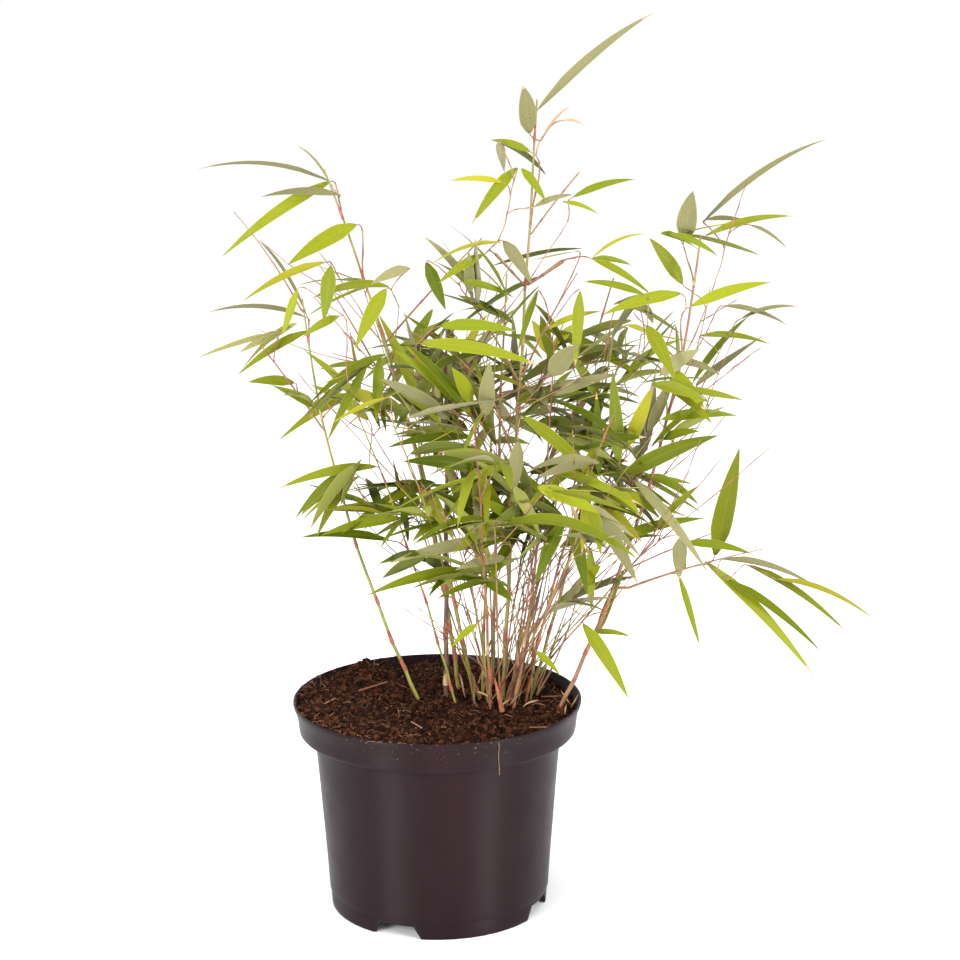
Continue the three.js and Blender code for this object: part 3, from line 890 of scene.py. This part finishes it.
def leafCorners(leaves, share):
    # each row of a leaf has five corners across its upper side and one under the midrib
    def column(key):
        values = np.array([leaf[key] for leaf in leaves], dtype=float)
        return values.reshape(len(leaves), 1, -1)

    t = share[None, :, None]
    base, bend, tip, face = (column(key) for key in ("base", "bend", "tip", "face"))
    width, twist, fold = (column(key) for key in ("width", "twist", "fold"))
    middle = base * (1 - t) ** 2 + 2 * bend * t * (1 - t) + tip * t ** 2
    along = unit(2 * (bend - base) * (1 - t) + 2 * (tip - bend) * t)
    side = unit(np.cross(along, face))
    normal = np.cross(side, along)
    turn = np.radians(twist) * (t - 0.3)
    side, normal = side * np.cos(turn) + normal * np.sin(turn), normal * np.cos(turn) - side * np.sin(turn)
    half = width / 2 * outline(t)
    rise = np.radians(fold) * np.clip(1.15 - t, 0, 1)
    out, lift = half * np.cos(rise), half * np.sin(rise)
    columns = [middle + side * out * u + normal * lift * abs(u) for u in (-1.0, -0.5, 0.0, 0.5, 1.0)]
    thin = blade["thinnest"]
    columns.append(middle - normal * blade["thick"] * (thin + (1 - thin) * half / (width / 2)))
    return np.stack(columns, axis=2).reshape(-1, 3)


def leafMesh(name, leaves):
    # leaves: dictionaries of base, bend and tip points, face, width, kind, twist, fold, dry and tone
    rows = blade["rows"]
    share = np.linspace(0, 1, rows + 1) ** 0.92
    share[1] = blade["stalk"] * 1.3
    places = (0.0, 0.25, 0.5, 0.75, 1.0, 0.5)  # of the six corners, across the leaf
    strips = [(0, 1, 0), (1, 2, 0), (2, 3, 0), (3, 4, 0), (5, 0, 1), (4, 5, 1)]  # 1 for the underside
    faces, slots, maps, tones = [], [], [], []
    for number, leaf in enumerate(leaves):
        start = number * (rows + 1) * 6
        slot = 2 * kindNames.index(leaf["kind"])
        for r in range(rows):
            a, b = start + r * 6, start + (r + 1) * 6
            coat = strawSlot if share[r] > leaf["dry"] else slot
            for left, right, under in strips:
                faces.append((a + left, a + right, b + right, b + left))
                slots.append(coat + under)
                maps += [(places[left], share[r]), (places[right], share[r]),
                         (places[right], share[r + 1]), (places[left], share[r + 1])]
        faces.append([start + i for i in (0, 5, 4, 3, 2, 1)])
        end = start + rows * 6
        faces.append([end + i for i in (0, 1, 2, 3, 4, 5)])
        slots += [slot, strawSlot if leaf["dry"] < 1 else slot]
        maps += [(0.5, 0.0)] * 6 + [(0.5, 1.0)] * 6
        tones += [leaf["tone"]] * (6 * rows + 2)
    mesh = newMesh(name, leafCorners(leaves, share), faces)
    mesh.polygons.foreach_set("material_index", slots)
    mesh.uv_layers.new(name="blade").data.foreach_set("uv", np.array(maps, np.float32).ravel())
    mesh.attributes.new("tone", "FLOAT", "FACE").data.foreach_set("value", np.array(tones, np.float32))
    mesh.shade_smooth()
    keys = np.zeros(len(mesh.edges) * 2, np.int32)
    mesh.edges.foreach_get("vertices", keys)
    corner = keys.reshape(-1, 2) % 6
    margin = (corner[:, 0] == corner[:, 1]) & ((corner[:, 0] == 0) | (corner[:, 0] == 4))
    mesh.attributes.new("sharp_edge", "BOOLEAN", "EDGE").data.foreach_set("value", margin)
    return newObject(name, mesh, leafMaterials)


def makeLeaf(random, base, aim, length, width, kind, droop=None):
    # a leaf that sets out along aim and bends down as it goes
    droop = random.uniform(*blade["droop"]) if droop is None else droop
    level = unit(aim * (1, 1, 0.15))
    falling = unit(unit(aim) + math.tan(math.radians(droop)) * (-up * 0.9 + level * 0.1))
    bend = base + aim * length * blade["bendAt"]
    tip = bend + falling * length * (1 - blade["bendAt"])
    if abs(aim[2]) > 0.8:
        face = heading(random.uniform(0, 360), 0)  # a steep leaf may face any way round
    else:
        tilt = math.radians(random.normal(0, blade["tilt"]))
        face = up * math.cos(tilt) + unit(np.cross(aim, up)) * math.sin(tilt)
    return dict(base=base, bend=bend, tip=tip, face=face, width=width, kind=kind,
                twist=random.uniform(*blade["twist"]), fold=random.uniform(*blade["fold"]),
                dry=random.choice(blade["dryFrom"], p=blade["dryChances"]), tone=random.uniform(0, 1))


# ---- twigs ----
twigs = dict(
    thick=0.7 * mm,
    thin=0.42 * mm,
    points=9,
    kink=0.2 * mm,
    sides=5,
    relief=0.05 * mm,
    grain=700.0,
    swelling=0.25,  # at each joint
    shortest=3 * mm,
    # what each way to grow costs: the distance, less for climbing and for running on with the limb,
    # and more for a drop or for a limb that is too near
    plainCost=1.5,
    climbEase=0.55,
    followEase=0.35,
    dropCost=30 * mm,
    nearCost=4 * mm,
    near=6 * mm,
    vary=6 * mm,
    bendOut=0.36,  # how straight it leaves the limb and meets the spray
    bendIn=0.26,
    lengthForThick=220 * mm,
    chances=(0.74, 0.16, 0.1),
    wandChances=(0.54, 0.24, 0.22),
)
twigPaths = {"twig": [], "olive": [], "dry": []}


def addTwig(random, points, size, near, chances, anchors):
    kind = random.choice(list(twigPaths), p=chances)
    twigPaths[kind].append((points, size * (1 + twigs["swelling"] * near), near))
    addAnchors(points, size, anchors)


def growTwig(random, base, aim):
    # a twig rises to a spray from the limb that it can reach most easily
    feet, aims, thick = np.array(anchorPoints), np.array(anchorAims), np.array(anchorThick)
    away = base - feet
    far = np.linalg.norm(away, axis=1)
    climb = away[:, 2] / np.maximum(far, 1e-6)
    follow = (unit(away) * aims).sum(1)
    cost = far * (twigs["plainCost"] - twigs["climbEase"] * climb - twigs["followEase"] * follow)
    cost += twigs["dropCost"] * np.clip(-climb, 0, 1) + twigs["nearCost"] * (far < twigs["near"])
    best = int(np.argmin(cost + random.uniform(0, twigs["vary"], len(cost))))
    start, far = feet[best], far[best]
    if far < twigs["shortest"]:
        return
    leave = unit(0.7 * aims[best] + 0.75 * unit(base - start))
    count = twigs["points"]
    t = np.linspace(0, 1, count)[:, None]
    one, two = start + leave * far * twigs["bendOut"], base - unit(aim) * far * twigs["bendIn"]
    points = start * (1 - t) ** 3 + 3 * one * t * (1 - t) ** 2 + 3 * two * t ** 2 * (1 - t) + base * t ** 3
    points[1:-1] += random.normal(0, twigs["kink"], (count - 2, 3))
    foot = min(twigs["thick"] * (0.8 + far / twigs["lengthForThick"]), thick[best] * 0.9)
    size = np.linspace(max(foot, twigs["thin"]), twigs["thin"], count)
    near = np.zeros(count)
    near[::3] = 0.8
    addTwig(random, points, size, near, twigs["chances"], (3, 5, 7))


# thin bare shoots from the clump's foot, forking as they rise
wands = dict(
    count=36,
    middle=(4, 2),  # of their feet, from the clump's middle
    spread=(27, 24),
    length=(60, 180),
    lean=(5, 42),
    thick=(0.5, 1.0),
    headingVary=40,
    straighten=(-0.1, 0.35),  # how much they turn upwards on the way
    sway=0.17,
    points=10,
    kink=0.22 * mm,
    taper=0.62,
    forks=(0, 4),
    forkTurn=24,
    forkLength=(0.45, 0.8),
    forkThick=0.8,
)


def growWand(random, foot, aim, length, thick, forks):
    later = unit(aim + up * random.uniform(*wands["straighten"]) + random.normal(0, wands["sway"], 3))
    count = wands["points"]
    t = np.linspace(0, 1, count)[:, None]
    points = foot + aim * length * t + (later - aim) * length * t ** 2 * 0.5
    points[1:-1] += random.normal(0, wands["kink"], (count - 2, 3))
    near = np.zeros(count)
    near[2::3] = 1.0
    size = thick * np.linspace(1.0, wands["taper"], count)
    addTwig(random, points, size, near, twigs["wandChances"], (6, 8, 9))
    turn = math.tan(math.radians(wands["forkTurn"]))
    for _ in range(forks):
        i = int(random.integers(2, count - 1))
        aside = unit(aim + random.normal(0, turn, 3) * (1, 1, 0.4))
        shorter = length * random.uniform(*wands["forkLength"])
        growWand(random, points[i], aside, shorter, max(size[i] * wands["forkThick"], twigs["thin"]), 0)


def drawnWand(random, kinds, foot, aim, length):
    thick = random.uniform(*kinds["thick"]) * mm
    growWand(random, foot, aim, length, thick, int(random.integers(*kinds["forks"])))


def buildWands():
    random = np.random.default_rng(71)
    for _ in range(wands["count"]):
        x, y = (clumpHub[i] / mm + random.normal(wands["middle"][i], wands["spread"][i] / 2) for i in (0, 1))
        foot = np.array((x, y, soilHeight(x, y) - 1.0)) * mm
        turn = awayFromHub(foot) + random.normal(0, wands["headingVary"])
        aim = heading(turn, 90 - random.uniform(*wands["lean"]))
        drawnWand(random, wands, foot, aim, random.uniform(*wands["length"]) * mm)


buildWands()

# longer fine shoots that leave the stems half way up and run out among the leaves
risers = dict(
    count=70,
    heights=(200, 440),
    fromThick=0.9 * mm,  # only limbs at least this thick carry them
    climb=(10, 62),
    headingVary=70,
    length=(60, 160),
    thick=(0.42, 0.64),
    forks=(0, 3),
    past=1 * mm,  # how far a tip may pass out of the leaves
)


def buildRisers(masses):
    random = np.random.default_rng(88)
    low, high = risers["heights"]
    feet = [point for point, thick in zip(anchorPoints, anchorThick)
            if thick > risers["fromThick"] and low < point[2] / mm < high]
    grown = 0
    while grown < risers["count"]:
        foot = np.array(feet[int(random.integers(len(feet)))])
        turn = awayFromHub(foot) + random.normal(0, risers["headingVary"])
        aim = heading(turn, random.uniform(*risers["climb"]))
        length = random.uniform(*risers["length"]) * mm
        if min(mass.outsideBy(foot + aim * length) for mass in masses) > risers["past"]:
            continue
        drawnWand(random, risers, foot, aim, length)
        grown += 1


# ---- sprays of leaves in each mass ----
sprays = dict(
    leavesPerLitre=150,
    leafLength=(56, 112),
    leafWidth=(6.5, 12.0),
    leavesInSpray=(2, 6),
    leafGap=6 * mm,  # along the twig's end
    shorter=(1.0, 0.8, 0.62),  # tried in turn until a leaf stays in its mass
    ownKind=0.8,  # how many leaves are of their spray's kind
    spread=38,  # degrees that sprays turn away from straight out
    spreadInside=120,
    climb=(-28, 42),  # degrees above level
    steepClimb=(-66, 80),
    steepShare=0.26,  # how many sprays stand or hang steeply
    steeperInside=2.2,
    inside=60 * mm,  # masses whose middle is this near the clump's are inside it
    lowest=185 * mm,
    footOut=16 * mm,  # how far a spray's foot may be out of its mass
    midOut=4 * mm,  # how far a leaf may pass out of its mass
    tipOut=11 * mm,
    lengthVary=(0.82, 1.15),
    turnAside=(22, 62),  # degrees between the twig and each leaf after the first
    riseVary=16,
    spearShare=0.5,
    spearLength=(28, 55),
    spearWidth=1.6 * mm,
    # chances of each kind of leaf in the dark, and how they change in full light: painted light and painted
    # shade in the leaf colours
    kindChances=(0.12, 0.02, 0.38, 0.42, 0.08, 0.008),
    lightShift=(0.34, 0.1, 0, -0.34, 0.12, 0),
    darkReach=(30 * mm, 300 * mm),  # distance from the clump's middle, and height
    lightReach=(140 * mm, 420 * mm),  # how much further out or up full light is
    # how full each mass is, where it isn't 1
    full=dict(top_blade=0, top_tuft=0, top=0.03, high=0.1, left_crest=0.03, left_high=0.12, left_outer=0.09,
              left_mid=0.28, left_low=0.72, left_base=0.75, right_blade=0, right_crest=0.12,
              right_high=0.13, right_outer=0.19, right_mid=0.41, far_right=0, far_upright=0,
              right_base=0.36, centre_upper=0.24, centre=1.3, centre_right=0.8, centre_left=0.9,
              right_low=0.72, back_left=0.46, back_right=0.46, back=0.6, front_left=0.3, front_right=0.28),
)
accents = dict(
    vary=7,  # how far they stray in depth
    sag=(0.05, 0.5),  # a share of the length, and this over the width as seen
    steepSag=0.01,
    narrowing=(0.45, 0.05),  # real width over the width as seen, and how that grows for each millimetre
    narrowingLimits=(0.6, 0.92),
    realWidth=(9.0, 0.12),  # a leaf is at least this wide, or this share of its length
    turned=0.95,  # narrower ones are seen nearly edge on
    twist=(-12, 12),
    fold=(6, 16),
    twigEvery=8 * mm,  # leaves that start nearer than this share a twig
    deepMass=90 * mm,
    frontOfDeep=30 * mm,
    frontOfThin=24 * mm,
)
# Leaves listed one by one that give the plant its outline, in millimetres: base x and z, tip x and z, width
# as seen from the front, kind, and how far the tip comes forward
accentLeaves = {
    "top_blade": [
        (80, 621, 165, 691, 8, "grey", 0),
    ],
    "top_tuft": [
        (73, 604, 67, 641, 16, "grey", 26), (82, 598, 103, 623, 3, "straw", 0),
    ],
    "top": [
        (72, 593, 43, 602, 7, "bright", 4), (52, 570, 12, 571, 6, "fresh", 0),
        (62, 580, 29, 540, 10, "bright", 6), (66, 580, 84, 556, 8, "mid", 10),
        (75, 553, 104, 561, 6, "grey", -6), (104, 560, 149, 572, 7, "mid", -4),
        (97, 616, 112, 612, 3, "straw", 0), (97, 556, 122, 548, 5, "bright", 10),
    ],
    "high": [
        (118, 514, 162, 487, 7, "bright", 4), (118, 514, 149, 507, 6, "mid", -8),
        (37, 518, 4, 498, 8, "bright", 8), (52, 528, 73, 497, 11, "grey", 12),
        (22, 498, 60, 485, 7, "mid", -6), (50, 528, -2, 512, 4, "fresh", 0),
        (-5, 512, 9, 477, 11, "deep", 4), (118, 516, 157, 533, 3, "fresh", 0),
    ],
    "left_crest": [
        (-77, 567, -160, 511, 10, "bright", 6), (-77, 567, -176, 577, 4, "grey", -4),
        (-70, 558, -129, 556, 7, "grey", -8), (-58, 535, -110, 506, 14, "bright", 10),
        (-77, 567, -101, 595, 2.5, "grey", 0),
    ],
    "left_high": [
        (-80, 514, -141, 486, 7, "fresh", 4), (-75, 512, -81, 472, 13, "mid", 8),
        (-35, 495, -58, 453, 13, "bright", 10), (-70, 475, -98, 459, 8, "bright", 0),
        (-18, 510, -46, 499, 9, "grey", 6), (-100, 495, -113, 458, 8, "bright", -6),
    ],
    "left_outer": [
        (-98, 464, -173, 468, 4, "grey", 0), (-97, 452, -151, 419, 8, "bright", 4),
        (-108, 412, -143, 414, 9, "bright", 6), (-60, 405, -121, 367, 8, "bright", 0),
        (-97, 463, -133, 522, 3, "grey", 0),
    ],
    "left_low": [
        (-45, 355, -119, 340, 8, "bright", 6), (-36, 296, -104, 300, 7, "deep", 4),
        (25, 275, -53, 261, 9, "mid", 20), (12, 320, -18, 304, 10, "bright", 30),
        (-8, 288, -44, 281, 8, "deep", 4),
    ],
    "centre_upper": [
        (-10, 452, 78, 437, 11, "bright", 14), (5, 465, 62, 462, 10, "mid", 8),
        (84, 463, 124, 476, 6, "fresh", 0), (86, 428, 107, 454, 17, "grey", 20),
    ],
    "centre_left": [
        (26, 399, -30, 449, 9, "mid", 8), (24, 404, -22, 455, 8, "deep", 0),
        (10, 396, -40, 429, 13, "grey", 10), (38, 398, 41, 443, 14, "grey", 14),
        (28, 407, 13, 438, 12, "bright", 20), (25, 380, -36, 377, 8, "deep", 20),
        (32, 358, -24, 367, 12, "deep", 14), (52, 363, 6, 377, 8, "bright", 22),
    ],
    "centre": [
        (53, 361, 9, 343, 8, "bright", 26), (53, 320, 11, 297, 9, "bright", 24),
        (50, 301, -36, 287, 11, "grey", 10), (62, 380, 59, 343, 12, "grey", 12),
        (52, 290, 14, 285, 9, "grey", 16), (37, 270, 58, 255, 10, "deep", 10),
        (66, 397, 127, 345, 11, "bright", 20), (96, 315, 74, 268, 12, "deep", 12),
    ],
    "centre_right": [
        (101, 370, 158, 382, 12, "deep", 20), (138, 360, 133, 432, 13, "mid", 4),
        (124, 350, 121, 415, 10, "deep", 8), (90, 411, 138, 428, 9, "grey", 8),
        (126, 404, 98, 446, 9, "mid", 4), (146, 372, 164, 420, 12, "fresh", 6),
    ],
    "right_crest": [
        (188, 524, 192, 564, 17, "grey", 24), (205, 538, 240, 535, 5, "grey", 0),
        (205, 528, 271, 541, 6, "bright", -6), (188, 490, 162, 526, 12, "bright", 8),
        (238, 535, 266, 517, 4, "grey", 4),
    ],
    "right_blade": [
        (203, 537, 293, 598, 5, "grey", 0),
    ],
    "right_high": [
        (190, 482, 247, 500, 9, "bright", 6), (182, 490, 124, 476, 10, "bright", 8),
        (155, 490, 109, 500, 7, "mid", 0), (108, 492, 104, 438, 10, "bright", 10),
    ],
    "right_outer": [
        (222, 470, 272, 454, 5, "grey", 0), (235, 460, 279, 469, 4, "grey", 0),
        (200, 410, 242, 461, 6, "mid", 0), (205, 446, 258, 440, 6, "bright", 6),
    ],
    "right_mid": [
        (175, 433, 201, 404, 11, "bright", 12), (170, 395, 226, 397, 9, "mid", 0),
        (157, 467, 177, 429, 13, "bright", 16), (168, 430, 196, 450, 12, "grey", 6),
    ],
    "right_low": [
        (142, 347, 213, 381, 14, "mid", 14), (168, 308, 201, 341, 7, "bright", 4),
        (150, 345, 206, 276, 9, "grey", 18), (122, 318, 153, 267, 13, "grey", 22),
        (187, 298, 185, 267, 13, "grey", 10), (185, 270, 202, 214, 7, "mid", 8),
        (136, 296, 205, 314, 9, "mid", 4), (104, 310, 114, 261, 12, "deep", 24),
        (113, 263, 124, 286, 9, "bright", 26),
    ],
    "far_upright": [
        (216, 278, 233, 364, 18, "bright", 4),
    ],
    "far_right": [
        (208, 275, 294, 183, 9.5, "bright", 10), (225, 262, 298, 204, 7, "mid", 4),
        (240, 272, 321, 214, 6, "bright", -4), (220, 279, 296, 252, 5, "grey", -12),
        (262, 262, 340, 228, 4, "fresh", 0), (190, 293, 243, 285, 8, "mid", 8),
    ],
    "right_base": [
        (112, 233, 146, 179, 12, "bright", 20), (120, 225, 149, 222, 6, "mid", 4),
        (118, 290, 118, 244, 9, "bright", 14),
    ],
    "left_base": [
        (30, 241, 11, 227, 7, "bright", 12), (75, 217, 93, 202, 7, "bright", 14),
    ],
}


class Mass:
    # what a spray needs to know of a packed mass of leaves
    def __init__(self, node):
        corners = nodeCorners(node)
        self.name = node.replace("foliage_", "")
        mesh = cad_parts[node].data
        triangles = np.zeros(len(mesh.polygons) * 3, np.int32)
        mesh.polygons.foreach_get("vertices", triangles)
        triangles = triangles.reshape(-1, 3)
        self.tree = BVHTree.FromPolygons([Vector(c) for c in corners], triangles.tolist())
        self.low, self.high = corners.min(0), corners.max(0)
        self.centre = (self.low + self.high) / 2
        a, b, c = (corners[triangles[:, i]] - self.centre for i in range(3))
        self.litres = abs(np.einsum("ij,ij->i", a, np.cross(b, c)).sum() / 6) * 1000
        self.outward = awayFromHub(self.centre)
        self.distance = float(np.linalg.norm((self.centre - clumpHub)[:2]))

    def inside(self, point):
        # a ray upwards leaves a closed shape an odd number of times from inside
        crossings, here = 0, Vector(point)
        while crossings < 30:
            hit = self.tree.ray_cast(here, Vector(up))[0]
            if hit is None:
                break
            crossings += 1
            here = hit + Vector(up) * 1e-6
        return crossings % 2 == 1

    def outsideBy(self, point):
        return 0.0 if self.inside(point) else self.tree.find_nearest(Vector(point))[3]

    def holds(self, leaf):
        middle = 0.25 * leaf["base"] + 0.5 * leaf["bend"] + 0.25 * leaf["tip"]
        return self.outsideBy(middle) < sprays["midOut"] and self.outsideBy(leaf["tip"]) < sprays["tipOut"]

    def leafDepth(self):
        # accent leaves lie in the middle of a thin mass and near the front of a deep one
        if self.high[1] - self.low[1] >= accents["deepMass"]:
            return self.low[1] + accents["frontOfDeep"]
        return max(self.centre[1], self.low[1] + accents["frontOfThin"])


def sprayKind(random, mass, height):
    # painted light and painted shade: outer and higher sprays, where light falls, get bright leaves, inner
    # and lower ones deep leaves
    reached = (np.array((mass.distance, height)) - sprays["darkReach"]) / sprays["lightReach"]
    light = np.clip(reached.sum(), 0, 1)
    chances = sprays["kindChances"] + light * np.array(sprays["lightShift"])
    return random.choice(kindNames, p=chances / chances.sum())


def accentSpray(random, mass, rows):
    leaves, feet = [], []
    forwards = np.array((0.0, 1.0, 0.0))
    for baseX, baseZ, tipX, tipZ, seen, kind, forward in rows:
        deep = mass.leafDepth() / mm + random.uniform(-accents["vary"], accents["vary"])
        base = np.array((baseX, deep, baseZ)) * mm
        tip = np.array((tipX, deep - forward, tipZ)) * mm
        length = float(np.linalg.norm(tip - base))
        chord = (tip - base) / length
        sag = accents["sag"][0] + accents["sag"][1] / seen if abs(chord[2]) < 0.9 else accents["steepSag"]
        share, growth = accents["narrowing"]
        narrowed = seen * np.clip(share + growth * seen, *accents["narrowingLimits"])
        real = max(narrowed, min(accents["realWidth"][0], length / mm * accents["realWidth"][1]))
        tilt = math.acos(min(1.0, accents["turned"] * narrowed / real))
        flat = unit(np.cross(chord, forwards))
        flat = flat if flat[2] > 0 else -flat
        leaf = makeLeaf(random, base, chord, length, real * mm, kind)
        leaf.update(base=base, tip=tip, bend=(base + tip) / 2 + up * (sag * length),
                    face=-forwards * math.cos(tilt) + flat * math.sin(tilt),
                    twist=random.uniform(*accents["twist"]), fold=random.uniform(*accents["fold"]))
        leaves.append(leaf)
        if all(np.linalg.norm(base - foot) > accents["twigEvery"] for foot in feet):
            growTwig(random, base, chord)
            feet.append(base)
    return leaves


def sprayLeaves(random, mass, foot, aim, typical, height):
    # leaves set alternately along the end of a twig
    kind = sprayKind(random, mass, height)
    side = 1 if random.random() < 0.5 else -1
    held = []
    for i in range(int(random.integers(*sprays["leavesInSpray"]))):
        aside = 0 if i == 0 else random.uniform(*sprays["turnAside"])
        turn = math.degrees(math.atan2(aim[1], aim[0])) + side * aside
        rise = math.degrees(math.asin(aim[2])) + random.uniform(-sprays["riseVary"], sprays["riseVary"])
        side = -side
        base = foot - aim * i * sprays["leafGap"]
        for shorter in sprays["shorter"]:
            length = typical * shorter * random.uniform(*sprays["lengthVary"])
            width = random.uniform(*sprays["leafWidth"]) * mm * (0.7 + 0.3 * shorter)
            own = kind if random.random() < sprays["ownKind"] else sprayKind(random, mass, height)
            leaf = makeLeaf(random, base, heading(turn, rise), length, width, own)
            if mass.holds(leaf):
                held.append(leaf)
                break
    return held


def seededSprays(random, mass, wanted):
    leaves, tries = [], 0
    central = mass.distance < sprays["inside"]
    while len(leaves) < wanted and tries < wanted * 4:
        tries += 1
        middle = random.uniform(mass.low, mass.high)
        if not mass.inside(middle):
            continue
        steep = random.random() < sprays["steepShare"] * (sprays["steeperInside"] if central else 1)
        climb = random.uniform(*sprays["steepClimb" if steep else "climb"])
        turn = random.normal(0, sprays["spreadInside" if central else "spread"])
        aim = heading(mass.outward + turn, climb)
        typical = random.uniform(*sprays["leafLength"]) * mm
        foot = middle - aim * typical * 0.45
        if mass.outsideBy(foot) > sprays["footOut"] or foot[2] < sprays["lowest"]:
            continue
        held = sprayLeaves(random, mass, foot, aim, typical, middle[2])
        if not held:
            continue
        growTwig(random, foot, aim)
        leaves += held
        if random.random() < sprays["spearShare"]:  # a leaf still rolled to a fine point
            aim = unit(aim + up * 0.25)
            length = random.uniform(*sprays["spearLength"]) * mm
            spear = makeLeaf(random, foot, aim, length, sprays["spearWidth"], "fresh", droop=4)
            spear.update(fold=70, twist=0)
            if mass.holds(spear):
                leaves.append(spear)
    return leaves


total = 0
masses = [Mass(node) for node in sorted(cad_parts) if node.startswith("foliage_")]
masses.sort(key=lambda mass: (mass.distance, mass.centre[2]))
buildRisers(masses)
for seed, mass in enumerate(masses):
    random = np.random.default_rng(300 + seed)
    leaves = accentSpray(random, mass, accentLeaves.get(mass.name, []))
    wanted = round(mass.litres * sprays["leavesPerLitre"] * sprays["full"].get(mass.name, 1))
    leaves += seededSprays(random, mass, wanted)
    total += len(leaves)
    finishPiece(leafMesh("leaves_" + mass.name, leaves), "leaves", "foliage_" + mass.name)
print("leaves:", total)

# ---- scraps ----
# dry scraps of sheath about the clump's foot and at the right rim, in millimetres and degrees:
# x, y, lift, length, width, heading, climb
scraps = [
    (28, -8, 1, 24, 2.6, 80, 78), (31, -13, 0, 17, 2.2, 250, 40), (47, -17, 0, 14, 2.0, 20, 30),
    (43, -9, 2, 22, 2.4, 160, 62), (55, -15, 2, 18, 2.2, 330, 50), (62, -4, 1, 24, 2.2, 60, 66),
    (38, -20, 0, 12, 1.8, 190, 12), (51, -27, 0, 14, 1.6, 300, 14), (66, -19, 1, 15, 2.0, 20, 34),
    (22, 4, 1, 20, 2.2, 120, 70), (98, -30, 0, 12, 1.8, 80, 26), (103, -20, 1, 13, 1.8, 30, 48),
    (104, -8, 1, 14, 1.6, 140, 36), (74, 10, 1, 26, 2.2, 100, 70), (84, -14, 0, 14, 1.6, 200, 24),
    (35, 16, 2, 26, 2.4, 30, 74),
]
# sticks that lie on the soil: from x, y to x, y
sticks = [(-62, 21, -40, 42), (82, 15, 98, 15), (-20, -60, -12, -74), (70, -52, 84, -60), (-88, -10, -80, 2),
          (10, 40, 20, 52)]
stickThick, stickLift = 0.62 * mm, 2.2
rimBits = dict(
    count=46,
    heading=(168, 42),  # middle and spread, in degrees
    out=(106, 112.5),
    height=(167.2, 168.4),
    steps=6,
    thick=(0.12, 0.26),
    sides=3,
    relief=0.0,
    grain=300.0,
    # a pale hair that hangs over the collar: radius and height of its bends
    hair=((113.1, 165.5), (113.3, 162.0), (111.2, 157.0), (109.6, 152.0), (109.2, 146.0), (108.6, 141.0),
          (107.6, 137.5)),
    hairHeading=-66.5,
    hairDrift=0.001,  # radians for each millimetre that it hangs
    hairThick=0.17 * mm,
)


def buildScraps():
    random = np.random.default_rng(12)
    leaves = []
    for x, y, lift, length, width, turn, climb in scraps:
        base = np.array((x, y, soilHeight(x, y) + 0.6 + lift)) * mm
        droop = random.uniform(-30, 50)
        leaf = makeLeaf(random, base, heading(turn, climb), length * mm, width * mm, "straw", droop=droop)
        leaf.update(fold=55, twist=random.uniform(-120, 120))
        leaves.append(leaf)
    finishPiece(leafMesh("dry_sheaths", leaves), "leaves")
    for x1, y1, x2, y2 in sticks:
        t = np.linspace(0, 1, 5)[:, None]
        ends = [np.array((x, y, soilHeight(x, y) + stickLift)) * mm for x, y in ((x1, y1), (x2, y2))]
        line = ends[0] * (1 - t) + ends[1] * t
        twigPaths["twig"].append((line, np.full(len(t), stickThick), np.zeros(len(t))))


def buildRimBits():
    # fibres caught on the rim, and the hair
    random = np.random.default_rng(31)
    paths = []
    steps = rimBits["steps"]
    for _ in range(rimBits["count"]):
        turn = math.radians(random.normal(*rimBits["heading"]))
        out = random.uniform(*rimBits["out"])
        start = np.array(around(out, turn, random.uniform(*rimBits["height"])))
        wander = random.normal(0, 1.1, (steps, 3)) * (1, 1, 0.35)
        bends = np.cumsum(wander + random.normal(0, 0.8, 3) * (1, 1, 0.2), axis=0)
        thick = random.uniform(*rimBits["thick"]) * mm
        paths.append(((start + bends) * mm, np.full(steps, thick), np.zeros(steps)))
    hair = []
    for radius, height in rimBits["hair"]:
        turn = math.radians(rimBits["hairHeading"]) + (165 - height) * rimBits["hairDrift"]
        hair.append(around(radius, turn, height))
    size = np.full(len(hair), rimBits["hairThick"])
    twigPaths["dry"].append((np.array(hair) * mm, size, np.zeros(len(hair))))
    growLimbs("rim_fibres", paths, rimBits, litter["root_fibres"][4], "soil")


buildScraps()
buildRimBits()
print("scraps ready")

for kind, paths in twigPaths.items():
    growLimbs("twigs_" + kind, paths, twigs, barks[kind], "boughs")
for kind, paths in sheathPaths.items():
    growLimbs("sheaths_" + kind, paths, sheathStyle, sheaths[kind], "shoots")
print("twigs:", sum(len(paths) for paths in twigPaths.values()))
